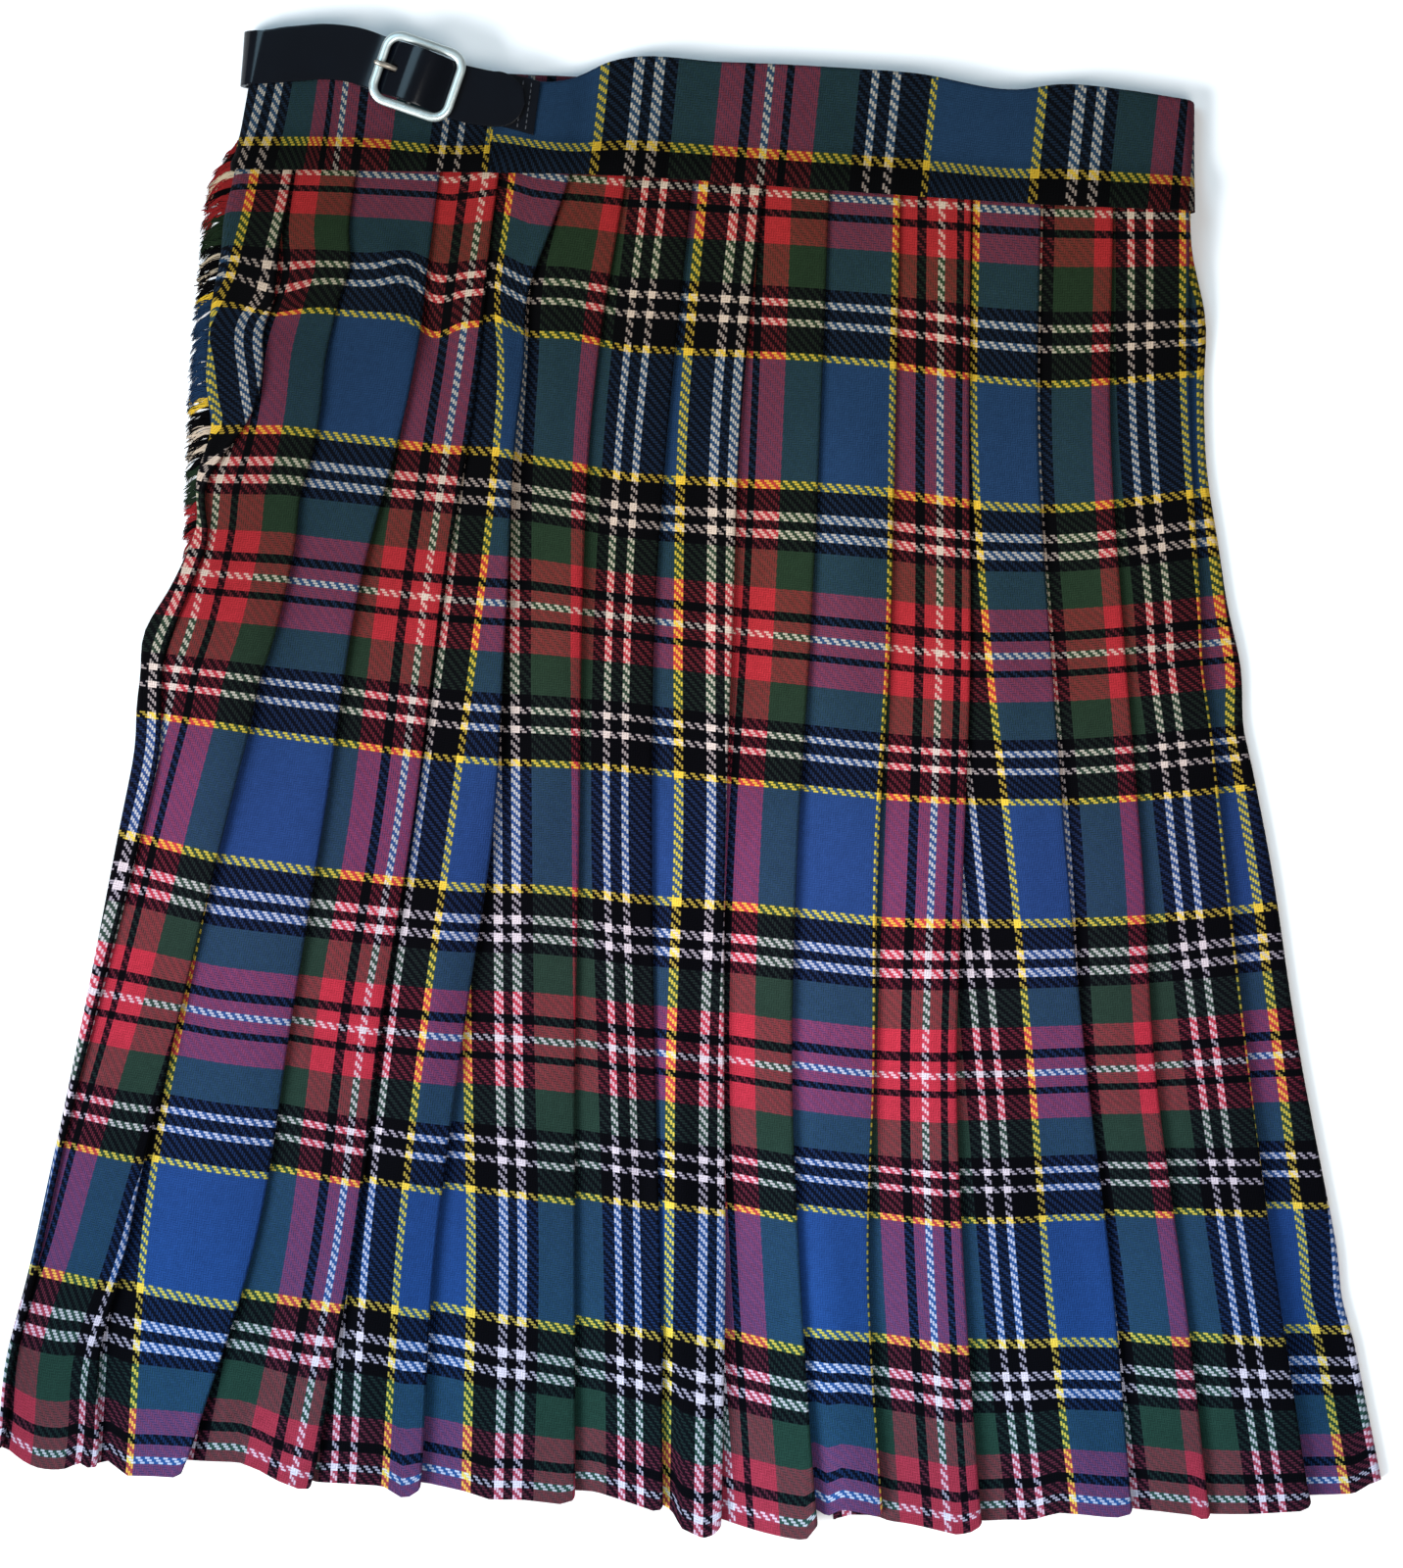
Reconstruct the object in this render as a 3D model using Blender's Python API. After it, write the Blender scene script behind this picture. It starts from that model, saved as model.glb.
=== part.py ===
"""A girl's pleated kilt in wool tartan, laid flat on its front with the pleated back uppermost.

X runs across the kilt, +Y towards the waistband and +Z up from the table. Every size below is in
millimetres; meshes are scaled to metres as they are made. The origin is at the middle of the kilt's
box, on the table.

The cloth is one length wound round: under-apron, side fold, thirteen knife pleats, side fold and
over-apron. It is cut into its three pieces inside hidden folds, as a maker joins them.
"""

import math

import bmesh
import bpy
import numpy as np

# ---------------------------------------------------------------- driving dimensions, millimetres

TO_METRES = 0.001
CLOTH = 1.0                 # wall of one layer of wool
GAP = 0.3                   # air between layers that touch
LAYER = CLOTH + GAP
THREAD = 0.8                # one thread of the tartan
SKIRT = 458.4               # seam to hem, along the cloth
TAIL = 3.0                  # cloth that runs up inside the waistband
BAND = 38.5                 # height of the waistband
WAIST_SETTLE = 60.0         # below this depth the layers lie right down
UNDERLAP_FULL = 40.0        # below this depth the pleats have their whole underlap
UNDERLAP_SEAM = 3.0         # what is left of the underlap at the seam
UNDERLAP_LEAST = 0.8
UNDERLAP_SHARE = 0.8        # most of the panel above that an underlap may fill
JOIN_LEAST = 0.6            # least run of cloth between a hidden fold and a join
APRON_SHORT = 20.0          # how far the under-apron's free edge stops before the side fold
FIRST_UNDERLAP = 7.0        # most of the hidden fold beside the left side
LAST_UNDERLAP = 12.0        # over-apron's hidden edge under the last pleat

FOLD_NOSE = 0.65            # how far a fold's mid line runs past its turning point
FOLD_EDGE = FOLD_NOSE + CLOTH / 2

# ---------------------------------------------------------------- the pleats

# Depth below the seam of the stations that the next two tables use.
STATIONS = (0.0, 76.8, 152.0, 227.2, 302.4, 377.6, SKIRT)

# One row for each outer fold, left to right, and for the two outlines and the fringed edge:
# thread of the tartan on the fold, step in the rows of the pattern at the hem, then where the fold
# shows (x) at each station.
FOLD_COLUMNS = ("name", "thread", "hem_step", "seam", "hip", "seat", "thigh", "knee", "low", "hem")
FOLDS = (
    ("outline_left", 0, 0.0, -165.0, -172.0, -181.5, -198.5, -213.0, -228.0, -244.0),
    ("fold_00", 50, 0.0, -140.5, -150.5, -175.0, -189.5, -207.5, -223.5, -239.5),
    ("fold_01", 131, 2.0, -117.0, -129.0, -141.5, -161.5, -179.5, -197.5, -218.5),
    ("fold_02", 205, 5.5, -88.5, -99.5, -117.5, -129.0, -141.0, -153.5, -179.0),
    ("fold_03", 289, 4.0, -68.0, -76.5, -88.0, -98.0, -109.5, -119.0, -134.0),
    ("fold_04", 363, 4.0, -43.0, -58.0, -62.5, -69.0, -80.5, -90.5, -95.5),
    ("fold_05", 455, 4.5, -23.0, -35.0, -38.5, -39.5, -41.0, -41.0, -41.0),
    ("fold_06", 534, 3.0, 0.5, -8.0, -13.0, -14.0, -13.0, -11.0, -10.0),
    ("fold_07", 616, 5.0, 25.5, 17.5, 14.5, 12.0, 11.5, 12.0, 10.5),
    ("fold_08", 695, 8.0, 48.5, 45.5, 42.0, 37.5, 35.5, 38.5, 44.5),
    ("fold_09", 780, 0.0, 73.5, 72.0, 70.0, 66.0, 64.5, 62.5, 67.5),
    ("fold_10", 859, 3.0, 98.5, 98.0, 98.5, 96.0, 93.5, 96.5, 102.5),
    ("fold_11", 939, 3.0, 123.0, 122.5, 127.0, 132.5, 139.5, 148.5, 155.5),
    ("fold_12", 1022, 2.5, 148.5, 148.0, 153.0, 159.0, 163.5, 173.0, 183.0),
    ("fold_13", 1099, 5.0, 171.5, 176.0, 182.0, 188.5, 196.5, 206.0, 218.5),
    ("outline_right", 0, 0.0, 177.0, 183.0, 191.0, 202.5, 214.5, 229.5, 244.0),
    ("fringed_edge", 0, 0.0, -161.5, -167.5, -170.0, -176.5, -183.0, -189.5, -196.5),
)

# One row of the weave at each station: its height (y) on the left outline, on six of the folds and
# on the right outline.
ROW_COLUMNS = ("outline_left", "fold_02", "fold_05", "fold_08", "fold_09", "fold_10", "fold_11",
               "outline_right")
ROWS = (
    (215.5, 214.5, 213.0, 208.0, 206.3, 204.6, 203.0, 201.0),
    (145.5, 138.0, 130.5, 126.0, 123.5, 121.5, 119.5, 124.5),
    (76.0, 66.5, 59.5, 50.5, 47.1, 45.1, 45.5, 49.5),
    (3.0, -9.5, -17.5, -23.5, -25.8, -27.5, -27.5, -23.0),
    (-71.0, -83.5, -92.0, -100.0, -102.1, -103.0, -101.5, -95.5),
    (-145.0, -159.0, -169.5, -174.0, -174.1, -177.5, -175.0, -170.5),
    (-234.0, -241.0, -252.0, -262.8, -258.2, -261.8, -258.0, -242.5),
)
STEP_START = 240.0          # depth at which the rows begin to step at the folds

# Soft swells of the whole back: centre, half sizes along and across, lean in degrees, height.
SWELL_COLUMNS = ("name", "x", "y", "half_across", "half_along", "lean", "height")
SWELLS = (
    ("hip_swell", -112.0, 184.0, 26.0, 24.0, 20.0, 3.0),
    ("hip_ridge", -64.0, 150.0, 17.0, 62.0, 4.0, 2.2),
    ("side_push", -176.0, 60.0, 16.0, 60.0, 14.0, 3.0),
    ("left_ridge", -152.0, -70.0, 18.0, 110.0, 12.0, 2.5),
    ("middle_ridge", 0.0, -170.0, 14.0, 95.0, 0.0, 3.0),
    ("right_ridge", 92.0, -120.0, 16.0, 90.0, -6.0, 2.5),
    ("hem_left", -120.0, -200.0, 21.0, 70.0, 16.0, 2.4),
    ("hem_right", 182.0, -180.0, 18.0, 80.0, -12.0, 2.5),
)

# ---------------------------------------------------------------- heights of the layers

OVER_FLOOR = CLOTH / 2                      # mid line of the over-apron on the table
OVER_TAIL = OVER_FLOOR + LAYER              # and between the two layers of its waistband
UNDER_FLOOR = OVER_FLOOR + LAYER
UNDER_TAIL = OVER_TAIL + 3 * LAYER
BACK_FLOOR = UNDER_FLOOR + LAYER            # lowest mid line of the pleats
BACK_TAIL = UNDER_TAIL + 3 * LAYER
PLEAT_RISE = 2 * LAYER + 0.3                # a panel passes this far over the next one
SIDE_RISE = 1.2                             # height of the last panel at the right outline
OVER_SETTLE = 15.0
CROWN_HEM = 1.4                             # soft roundness of a panel at the hem

# Waistband, a strip folded lengthwise over the cloth's tail. Its heights up from the seam:
BAND_NECK = 4.2                             # up to here it holds the tail
BAND_FLAT = 14.0                            # from here on its two layers lie together
BAND_LIFTED = 25.5                          # from here on it may lie on the strap's root
# For each part of the winding, the middle between its layers and half their distance, by the seam
# and in the flat stretch.
BAND_PARTS = {
    "over": (OVER_TAIL, LAYER, 1.3, 0.8),
    "under": (UNDER_TAIL, LAYER, 4.2, 0.8),
    "back": (11.3, 3.0, 9.2, 0.8),
}
# For the side folds, the middle of the two noses and half their distance, in the same way.
BAND_SIDES = {
    "left": (2.9, 2.1, 2.2, 1.5),
    "right": (3.1, 1.7, 3.1, 1.2),
}
BAND_CLEAR = LAYER + 0.25                   # outer layer's mid line beyond the cloth's side fold
STRAP_LIFT = 2.1                            # lift of the front bands over the strap's root
STRAP_LIFT_RUN = 22.0                       # run of the slope beside it

# Top edge of the waistband on the back.
BAND_TOP_COLUMNS = ("x", "y")
BAND_TOP = (
    (-166.0, 253.0),
    (-150.0, 253.6),
    (-112.0, 253.5),
    (-78.0, 250.0),
    (-41.0, 248.0),
    (-30.0, 253.0),
    (12.0, 253.3),
    (50.0, 251.5),
    (78.0, 249.5),
    (117.0, 243.8),
    (128.0, 245.4),
    (157.0, 243.0),
    (172.0, 241.2),
    (178.0, 239.8),
)
# Outermost points of the left side fold: heights as a share of the band, and x.
BAND_LEFT_COLUMNS = ("share", "x")
BAND_LEFT = (
    (0.11, -166.2),
    (0.36, -161.8),
    (0.66, -159.5),
    (1.00, -158.0),
)
BAND_END_SEAM = -161.2                      # slanted end of the band on the over-apron
BAND_END_TOP = -151.0
BAND_BACK_KNOTS = (-150.0, -140.0, -125.0, -112.0, -95.0, -78.0, -60.0, -50.0, -41.0, -30.0, -18.0,
                   0.0, 12.0, 30.0, 50.0, 64.0, 78.0, 97.0, 117.0, 128.0, 142.0, 157.0)
BAND_FRONT_KNOTS = (120.0, 80.0, 40.0, 0.0, -40.0, -80.0, -112.0, -118.0, -124.0, -129.0, -134.0,
                    -146.0)

# ---------------------------------------------------------------- fringe

FRINGE_STRIP = 1.6                          # width of the strip that holds the strands
FRINGE_STRANDS = 200
FRINGE_LONG = 10.0
FRINGE_TIP_LOW = 0.4                        # height of a strand's end above the table
FRINGE_UP_BAND = 12.0                       # how far the fringe runs up the band's end
FRINGE_BAND_LONG = 2.5                      # and how short it is there

# ---------------------------------------------------------------- strap, chape and buckle

STRAP_WIDE = 19.4
STRAP_THICK = 1.8
STRAP_ROOT = (-137.0, 253.8)                # end of its root, under the over-apron's band
STRAP_TURN = (-155.7, 255.0)                # where it turns up round the kilt's side
STRAP_NOSE = 5.0
STRAP_ON_BAND = 11.7                        # mid height where it lies on the waistband
STRAP_TIP_ROUND = 9.0

BUCKLE_X = -96.4
BUCKLE_Y = 247.8
BUCKLE_TURN = -19.0                         # degrees, the right side swung down
FRAME_LONG = 31.0                           # along the strap
FRAME_WIDE = 27.0
FRAME_BAR = 3.0
FRAME_THICK = 1.8
FRAME_LOW = 14.6
FRAME_CORNER = 6.0
BAR_RADIUS = 0.9
BAR_HIGH = 13.9

# Centre line of the strap on the back, left to right, seen from above.
STRAP_COLUMNS = ("x", "y")
STRAP_LINE = (
    (-154.0, 255.1),
    (-140.0, 256.3),
    (-127.0, 257.0),
    (-117.0, 255.4),
    (-110.0, 252.7),
    (-96.4, 247.8),
    (-83.0, 243.0),
    (-76.0, 241.0),
    (-69.0, 240.2),
    (-59.0, 241.2),
)
# Height of the strap's mid line along the buckle's own axis, measured from the centre bar.
STRAP_ARCH_COLUMNS = ("along", "height")
STRAP_ARCH = (
    (-26.0, 11.7),
    (-18.0, 11.8),
    (-15.0, 12.1),
    (-12.6, 12.6),
    (-8.0, 15.7),
    (-4.0, 17.7),
    (0.0, 18.2),
    (3.5, 17.7),
    (6.0, 16.5),
    (8.6, 14.7),
    (12.0, 13.1),
    (16.0, 13.0),
    (40.0, 13.0),
)

CHAPE_WIDE = 18.6
CHAPE_THICK = 1.0
CHAPE_DRIFT = 3.5                           # its sewn end swings this far off the buckle's axis
# Mid line of the chape along the buckle's axis: sewn end, round the bar, and back under the strap.
CHAPE_COLUMNS = ("along", "height")
CHAPE_LINE = (
    (45.0, 11.3),
    (30.0, 11.3),
    (15.0, 11.3),
    (6.0, 11.3),
    (3.0, 11.6),
    (0.0, 12.2),
    (-1.2, 12.7),
    (-1.7, 13.9),
    (-1.2, 15.1),
    (0.0, 15.6),
    (3.0, 15.0),
    (6.0, 13.3),
    (8.5, 12.7),
)
CHAPE_SLOT_LONG = 5.0
CHAPE_SLOT_WIDE = 3.4

PRONG_THICK = 1.2
PRONG_WIDE = 1.8
# Mid line of the prong: round the bar, then out through the strap to rest on the frame's left bar.
PRONG_COLUMNS = ("along", "height")
PRONG_RING = 1.85
PRONG_LINE = (
    (-2.4, 15.7),
    (-4.4, 15.75),
    (-8.0, 16.8),
    (-11.0, 17.3),
    (-15.8, 17.35),
)
STRAP_HOLE = (-6.9, 6.6, 2.8)               # middle, length and width of the hole for the prong


# ---------------------------------------------------------------- helpers

def column(table, columns, name):
    """One named column of a table, as an array."""
    return np.array([row[columns.index(name)] for row in table], dtype=float)


def through(knots, values, at):
    """A smooth curve through values at knots, read at the places given."""
    knots = np.asarray(knots, dtype=float)
    values = np.asarray(values, dtype=float)
    slopes = np.gradient(values, knots)
    at = np.asarray(at, dtype=float)
    k = np.clip(np.searchsorted(knots, at) - 1, 0, len(knots) - 2)
    span = knots[k + 1] - knots[k]
    t = (at - knots[k]) / span
    inside = np.clip(t, 0.0, 1.0)
    square = inside * inside
    cube = square * inside
    curve = ((2 * cube - 3 * square + 1) * values[k]
             + (cube - 2 * square + inside) * span * slopes[k]
             + (3 * square - 2 * cube) * values[k + 1]
             + (cube - square) * span * slopes[k + 1])
    end_slope = np.where(t < 0.0, slopes[k], slopes[k + 1])
    return curve + (t - inside) * span * end_slope


def ease(t):
    """0 below 0, 1 above 1 and a soft S between."""
    t = np.clip(t, 0.0, 1.0)
    return t * t * (3.0 - 2.0 * t)


def wall(name, mid, thick, material):
    """A closed wall about a grid of mid points, rows by columns, with square edges all round."""
    mid = np.asarray(mid, dtype=float)
    along_rows = np.gradient(mid, axis=0)
    along_columns = np.gradient(mid, axis=1)
    normal = np.cross(along_columns, along_rows)
    normal /= np.linalg.norm(normal, axis=2, keepdims=True)
    rows, columns = mid.shape[:2]
    mesh = bmesh.new()
    sides = []
    for half in (thick / 2, -thick / 2):
        points = (mid + normal * half) * TO_METRES
        sides.append([[mesh.verts.new(points[r, c]) for c in range(columns)] for r in range(rows)])
    front, back = sides
    for r in range(rows - 1):
        for c in range(columns - 1):
            mesh.faces.new((front[r][c], front[r][c + 1], front[r + 1][c + 1], front[r + 1][c]))
            mesh.faces.new((back[r][c], back[r + 1][c], back[r + 1][c + 1], back[r][c + 1]))
    ring = [(0, c) for c in range(columns)]
    ring += [(r, columns - 1) for r in range(1, rows)]
    ring += [(rows - 1, c) for c in range(columns - 2, -1, -1)]
    ring += [(r, 0) for r in range(rows - 2, 0, -1)]
    for (r0, c0), (r1, c1) in zip(ring, ring[1:] + ring[:1]):
        mesh.faces.new((front[r1][c1], front[r0][c0], back[r0][c0], back[r1][c1]))
    return finish(name, mesh, material)


def finish(name, mesh, material):
    """Turns a bmesh into an object with outward faces and its material."""
    bmesh.ops.recalc_face_normals(mesh, faces=mesh.faces)
    data = bpy.data.meshes.new(name)
    mesh.to_mesh(data)
    mesh.free()
    data.materials.append(material)
    made = bpy.data.objects.new(name, data)
    bpy.context.scene.collection.objects.link(made)
    return made


def plain_material(name, colour, roughness, metallic=0.0):
    """A Principled BSDF with one colour."""
    material = bpy.data.materials.new(name)
    material.use_nodes = True
    shader = material.node_tree.nodes["Principled BSDF"]
    shader.inputs["Base Color"].default_value = (*colour, 1.0)
    shader.inputs["Roughness"].default_value = roughness
    shader.inputs["Metallic"].default_value = metallic
    return material


# ---------------------------------------------------------------- the wound cloth

def fold_places(depth):
    """Where each fold, outline and edge shows at a depth below the seam, by name."""
    values = np.array([row[3:] for row in FOLDS], dtype=float)
    places = [float(through(STATIONS, line, depth)) for line in values]
    return dict(zip([row[0] for row in FOLDS], places))


def row_line(depth):
    """Knots of the weave's row at a depth: x and y at the places that ROW_COLUMNS names."""
    places = fold_places(depth)
    heights = np.array(ROWS, dtype=float)
    ys = [float(through(STATIONS, heights[:, k], max(depth, 0.0))) for k in range(len(ROW_COLUMNS))]
    xs = [places[name] for name in ROW_COLUMNS]
    return np.array(xs), np.array(ys) + max(-depth, 0.0)


def swell(x, y):
    """Lift of the back at a point."""
    lift = 0.0
    for _, cx, cy, across, along, lean, height in SWELLS:
        turn = math.radians(lean)
        dx = x - cx
        dy = y - cy
        u = (dx * math.cos(turn) - dy * math.sin(turn)) / across
        v = (dx * math.sin(turn) + dy * math.cos(turn)) / along
        lift += height * math.exp(-(u * u + v * v))
    return lift


class WoundRow:
    """The whole cloth at one depth below the seam: its turning points and heights."""

    def __init__(self, depth):
        self.depth = depth
        places = fold_places(depth)
        self.left = places["outline_left"] + CLOTH / 2
        self.right = places["outline_right"] - CLOTH / 2
        self.edge = places["fringed_edge"]
        self.folds = np.array([places[row[0]] for row in FOLDS if row[0].startswith("fold")])
        self.folds = self.folds - FOLD_EDGE
        self.knots = row_line(depth)
        self.settle = float(1.0 - ease(depth / WAIST_SETTLE))
        self.underlaps = self.find_underlaps()
        self.heights = self.find_heights()

    def find_underlaps(self):
        """Depth of each hidden underlap: half of the cloth that does not show."""
        threads = np.array([row[1] for row in FOLDS if row[0].startswith("fold")], dtype=float)
        shown = np.diff(self.folds, prepend=self.left)
        cloth = np.diff(threads) * THREAD
        full = np.append((cloth - shown[1:]) / 2, LAST_UNDERLAP)
        full = np.minimum(full, UNDERLAP_SHARE * shown)
        full[0] = min(full[0], FIRST_UNDERLAP)
        side_room = self.folds - self.left - 2 * FOLD_EDGE - 1.2
        full = np.clip(full, UNDERLAP_LEAST, np.maximum(side_room, UNDERLAP_LEAST))
        grown = float(ease(self.depth / UNDERLAP_FULL))
        at_seam = np.minimum(full, UNDERLAP_SEAM)
        return at_seam + (full - at_seam) * grown

    def find_heights(self):
        """Height of each panel at its outer fold, worked from right to left."""
        count = len(self.folds)
        heights = np.zeros(count + 1)
        heights[count] = SIDE_RISE
        ends = np.append(self.folds, self.right)
        for i in range(count - 1, -1, -1):
            under = self.underlaps[i]
            next_shown = ends[i + 1] - ends[i]
            over_next = PLEAT_RISE + heights[i + 1] * under / (next_shown + under)
            if i == 0:
                heights[i] = over_next
                continue
            whole = ends[i] - ends[i - 1] + self.underlaps[i - 1]
            heights[i] = max(over_next, PLEAT_RISE * whole / (whole - under))
        return heights

    def panel_height(self, panel, x):
        """Height of a panel over the lowest layer; panel 0 is the left one, the last has no fold."""
        top = self.heights[panel]
        if panel == 0:
            share = (x - self.left) / (self.folds[0] - self.left)
            return PLEAT_RISE + (top - PLEAT_RISE) * min(max(share, 0.0), 1.0)
        start = self.folds[panel - 1] - self.underlaps[panel - 1]
        end = self.folds[panel] if panel < len(self.folds) else self.right
        return top * min(max((x - start) / (end - start), 0.0), 1.0)

    def row_y(self, x):
        return float(through(self.knots[0], self.knots[1], x))

    def front_y(self, x):
        """On the aprons a row runs straight from outline to outline."""
        share = (x - self.left) / (self.right - self.left)
        at_left = self.row_y(self.left)
        return at_left + (self.row_y(self.right) - at_left) * share

    def step(self, fold):
        """Step of the row at a fold, growing towards the hem."""
        grown = float(ease((self.depth - STEP_START) / (SKIRT - STEP_START)))
        return FOLDS[fold + 1][FOLD_COLUMNS.index("hem_step")] * grown

    def back_point(self, x, height, offset=0.0):
        """A mid point of the back: height is over its lowest layer, offset is along the cloth."""
        y = self.row_y(x) + offset
        base = BACK_FLOOR + (BACK_TAIL - BACK_FLOOR) * self.settle
        side = ease((x - self.left) / 14.0) * ease((self.right - x) / 14.0)
        lift = swell(x, y) * float(side) * float(ease(self.depth / WAIST_SETTLE))
        return (x, y, base + height + lift)

    def outer_fold(self, fold):
        """The three points round an outer fold, top, nose and return."""
        x = self.folds[fold]
        offset = -self.step(fold) / 2
        top = self.panel_height(fold, x)
        low = (top + self.panel_height(fold + 1, x)) / 2
        nose = (top + low) / 2
        return [self.back_point(x, top, offset),
                self.back_point(x + FOLD_NOSE, nose, offset),
                self.back_point(x, low, offset)]

    def hidden_start(self, fold):
        return self.folds[fold] - self.underlaps[fold]

    def inner_fold(self, fold):
        """The three points round the hidden fold under a pleat, return, nose and start."""
        x = self.hidden_start(fold)
        offset = self.step(fold) / 2
        top = self.panel_height(fold, x)
        high = top / 2
        return [self.back_point(x, high, offset),
                self.back_point(x - FOLD_NOSE, high / 2, offset),
                self.back_point(x, 0.0, offset)]

    def join(self, fold, past):
        """Point of the next panel, under a fold, where two lengths of cloth are joined."""
        x = self.hidden_start(fold) + max(JOIN_LEAST, self.underlaps[fold] / 2) + past
        return self.back_point(x, self.panel_height(fold + 1, x), self.step(fold) / 2)

    def panel(self, panel, shares):
        """Points on a visible panel, at shares of its width from the fold above it."""
        start = self.folds[panel - 1] if panel else self.left
        end = self.folds[panel] if panel < len(self.folds) else self.right
        at_start = self.step(panel - 1) / 2 if panel else 0.0
        at_end = -self.step(panel) / 2 if panel < len(self.folds) else 0.0
        crown = CROWN_HEM * float(ease(self.depth / SKIRT))
        points = []
        for share in shares:
            x = start + (end - start) * share
            offset = at_start + (at_end - at_start) * share
            rise = crown * math.sin(math.pi * share)
            points.append(self.back_point(x, self.panel_height(panel, x) + rise, offset))
        return points

    def side_turn(self, sign, top, bottom, outermost, parts):
        """Points round a side fold, from the back's height down to an apron's."""
        radius = (top - bottom) / 2
        middle = (top + bottom) / 2
        room = 0.6 * (self.right - self.folds[-1]) if sign > 0 else 0.5 * (self.folds[0] - self.left)
        nose = min(radius, 4.0, room)
        centre = outermost - sign * nose
        points = []
        for k in range(parts + 1):
            angle = math.pi / 2 - math.pi * k / parts
            x = centre + sign * nose * math.cos(angle)
            share = k / parts
            y = self.row_y(x) * (1 - share) + self.front_y(x) * share
            points.append((x, y, middle + radius * math.sin(angle)))
        return points


PANEL_SHARES = (0.0, 0.3, 0.65)
APRON_PARTS = 7
TURN_PARTS = 6
SAG_RUN = 8.0               # the under-apron sinks to the table beyond the fringe within this run
DEPTHS = (-TAIL, 0.5, 12.0, 26.0, 44.0, 70.0, 98.0, 122.0, 150.0, 187.0, 230.0, 275.0, 320.0, 365.0, 412.0,
          SKIRT)
LAST_FOLD = 13


def over_height(row):
    """Mid height of the over-apron: between its band's layers at the waist, then on the table."""
    return OVER_FLOOR + (OVER_TAIL - OVER_FLOOR) * float(1.0 - ease(row.depth / OVER_SETTLE))


def under_height(row):
    return UNDER_FLOOR + (UNDER_TAIL - UNDER_FLOOR) * row.settle


def under_apron_row(row):
    """From the free edge to the left side, round it, and over to the return of the first fold."""
    level = under_height(row)
    high = row.back_point(row.left, PLEAT_RISE)[2]
    tips = row.edge - GAP - FRINGE_STRIP - FRINGE_LONG - 1.5
    room = tips - SAG_RUN - row.left - 6.0
    sunk = LAYER * float(ease(room / SAG_RUN)) * (1.0 - row.settle)
    turn = row.side_turn(-1, high, level - sunk, row.left, TURN_PARTS)
    free_edge = row.right - APRON_SHORT
    sag_start = max(tips, turn[-1][0] + SAG_RUN + 3.0)
    flat = []
    for k in range(APRON_PARTS + 1):
        x = free_edge + (sag_start - free_edge) * k / APRON_PARTS
        flat.append((x, row.front_y(x), level))
    sag_end = sag_start - SAG_RUN
    flat.append((sag_end, row.front_y(sag_end), level - sunk))
    start = (turn[0][0] - row.left) / (row.folds[0] - row.left)
    shares = (start + (1 - start) * 0.5,)
    fold = row.outer_fold(0) + row.inner_fold(0) + [row.join(0, 0.0)]
    return flat + turn[::-1] + row.panel(0, shares) + fold


def pleated_back_row(row):
    """From the hidden join at the left to the hidden join at the right."""
    points = [row.join(0, GAP)]
    points += row.panel(1, (0.15,) + PANEL_SHARES[1:])
    points += row.outer_fold(1)
    for fold in range(1, LAST_FOLD):
        points += row.inner_fold(fold)
        points += row.panel(fold + 1, PANEL_SHARES)
        points += row.outer_fold(fold + 1)
    return points + row.inner_fold(LAST_FOLD) + [row.join(LAST_FOLD, 0.0)]


def over_apron_row(row):
    """From the hidden join under the last pleat, round the right side, to the fringed edge."""
    low = over_height(row)
    high = row.back_point(row.right, SIDE_RISE)[2]
    turn = row.side_turn(1, high, low, row.right, TURN_PARTS)
    start = [row.join(LAST_FOLD, GAP)]
    under = start[-1][0]
    middle = under + (turn[0][0] - under) * 0.5
    shown = [row.back_point(middle, row.panel_height(LAST_FOLD + 1, middle))]
    flat = []
    for k in range(1, APRON_PARTS + 1):
        x = turn[-1][0] + (row.edge - turn[-1][0]) * k / APRON_PARTS
        flat.append((x, row.front_y(x), low))
    return start + shown + turn + flat


def build_cloth(materials):
    rows = [WoundRow(depth) for depth in DEPTHS]
    wall("over_apron", [over_apron_row(row) for row in rows], CLOTH, materials["tartan"])
    wall("under_apron", [under_apron_row(row) for row in rows], CLOTH, materials["tartan"])
    wall("pleated_back", [pleated_back_row(row) for row in rows], CLOTH, materials["tartan"])


# ---------------------------------------------------------------- the waistband

def between(values, height):
    """A band's value at a height: one by the seam, another in its flat stretch."""
    share = min(max((height - BAND_NECK) / (BAND_FLAT - BAND_NECK), 0.0), 1.0)
    return values[0] + (values[2] - values[0]) * share, values[1] + (values[3] - values[1]) * share


def strap_lift(x, height):
    """How far the strap's root holds the front bands up."""
    up = ease((height - BAND_FLAT) / (BAND_LIFTED - BAND_FLAT))
    along = 1.0 - ease((x - STRAP_ROOT[0] - 3.0) / STRAP_LIFT_RUN)
    return STRAP_LIFT * float(up * along)


def band_level(part, x, height, layer):
    """Mid height of one layer of the band; layer is 1 for its outer face and -1 for its inner."""
    middle, half = between(BAND_PARTS[part], height)
    if part == "back":
        return middle + layer * half
    return middle - layer * half + strap_lift(x, height)


def band_tall(row, x, front):
    """Height of the band at x, on the back or on the front."""
    if front:
        return BAND
    knots = column(BAND_TOP, BAND_TOP_COLUMNS, "x")
    tops = column(BAND_TOP, BAND_TOP_COLUMNS, "y")
    return float(through(knots, tops, x)) - row.row_y(x)


def band_section(tall):
    """Layer and height of the points across the band, up its outer layer and down its inner."""
    rising = [0.0, BAND_NECK, BAND_FLAT, BAND_LIFTED, tall - BAND_PARTS["over"][3]]
    outer = [(1.0, height) for height in rising]
    inner = [(-1.0, height) for height in reversed(rising)]
    return outer + [(0.0, tall)] + inner


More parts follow.
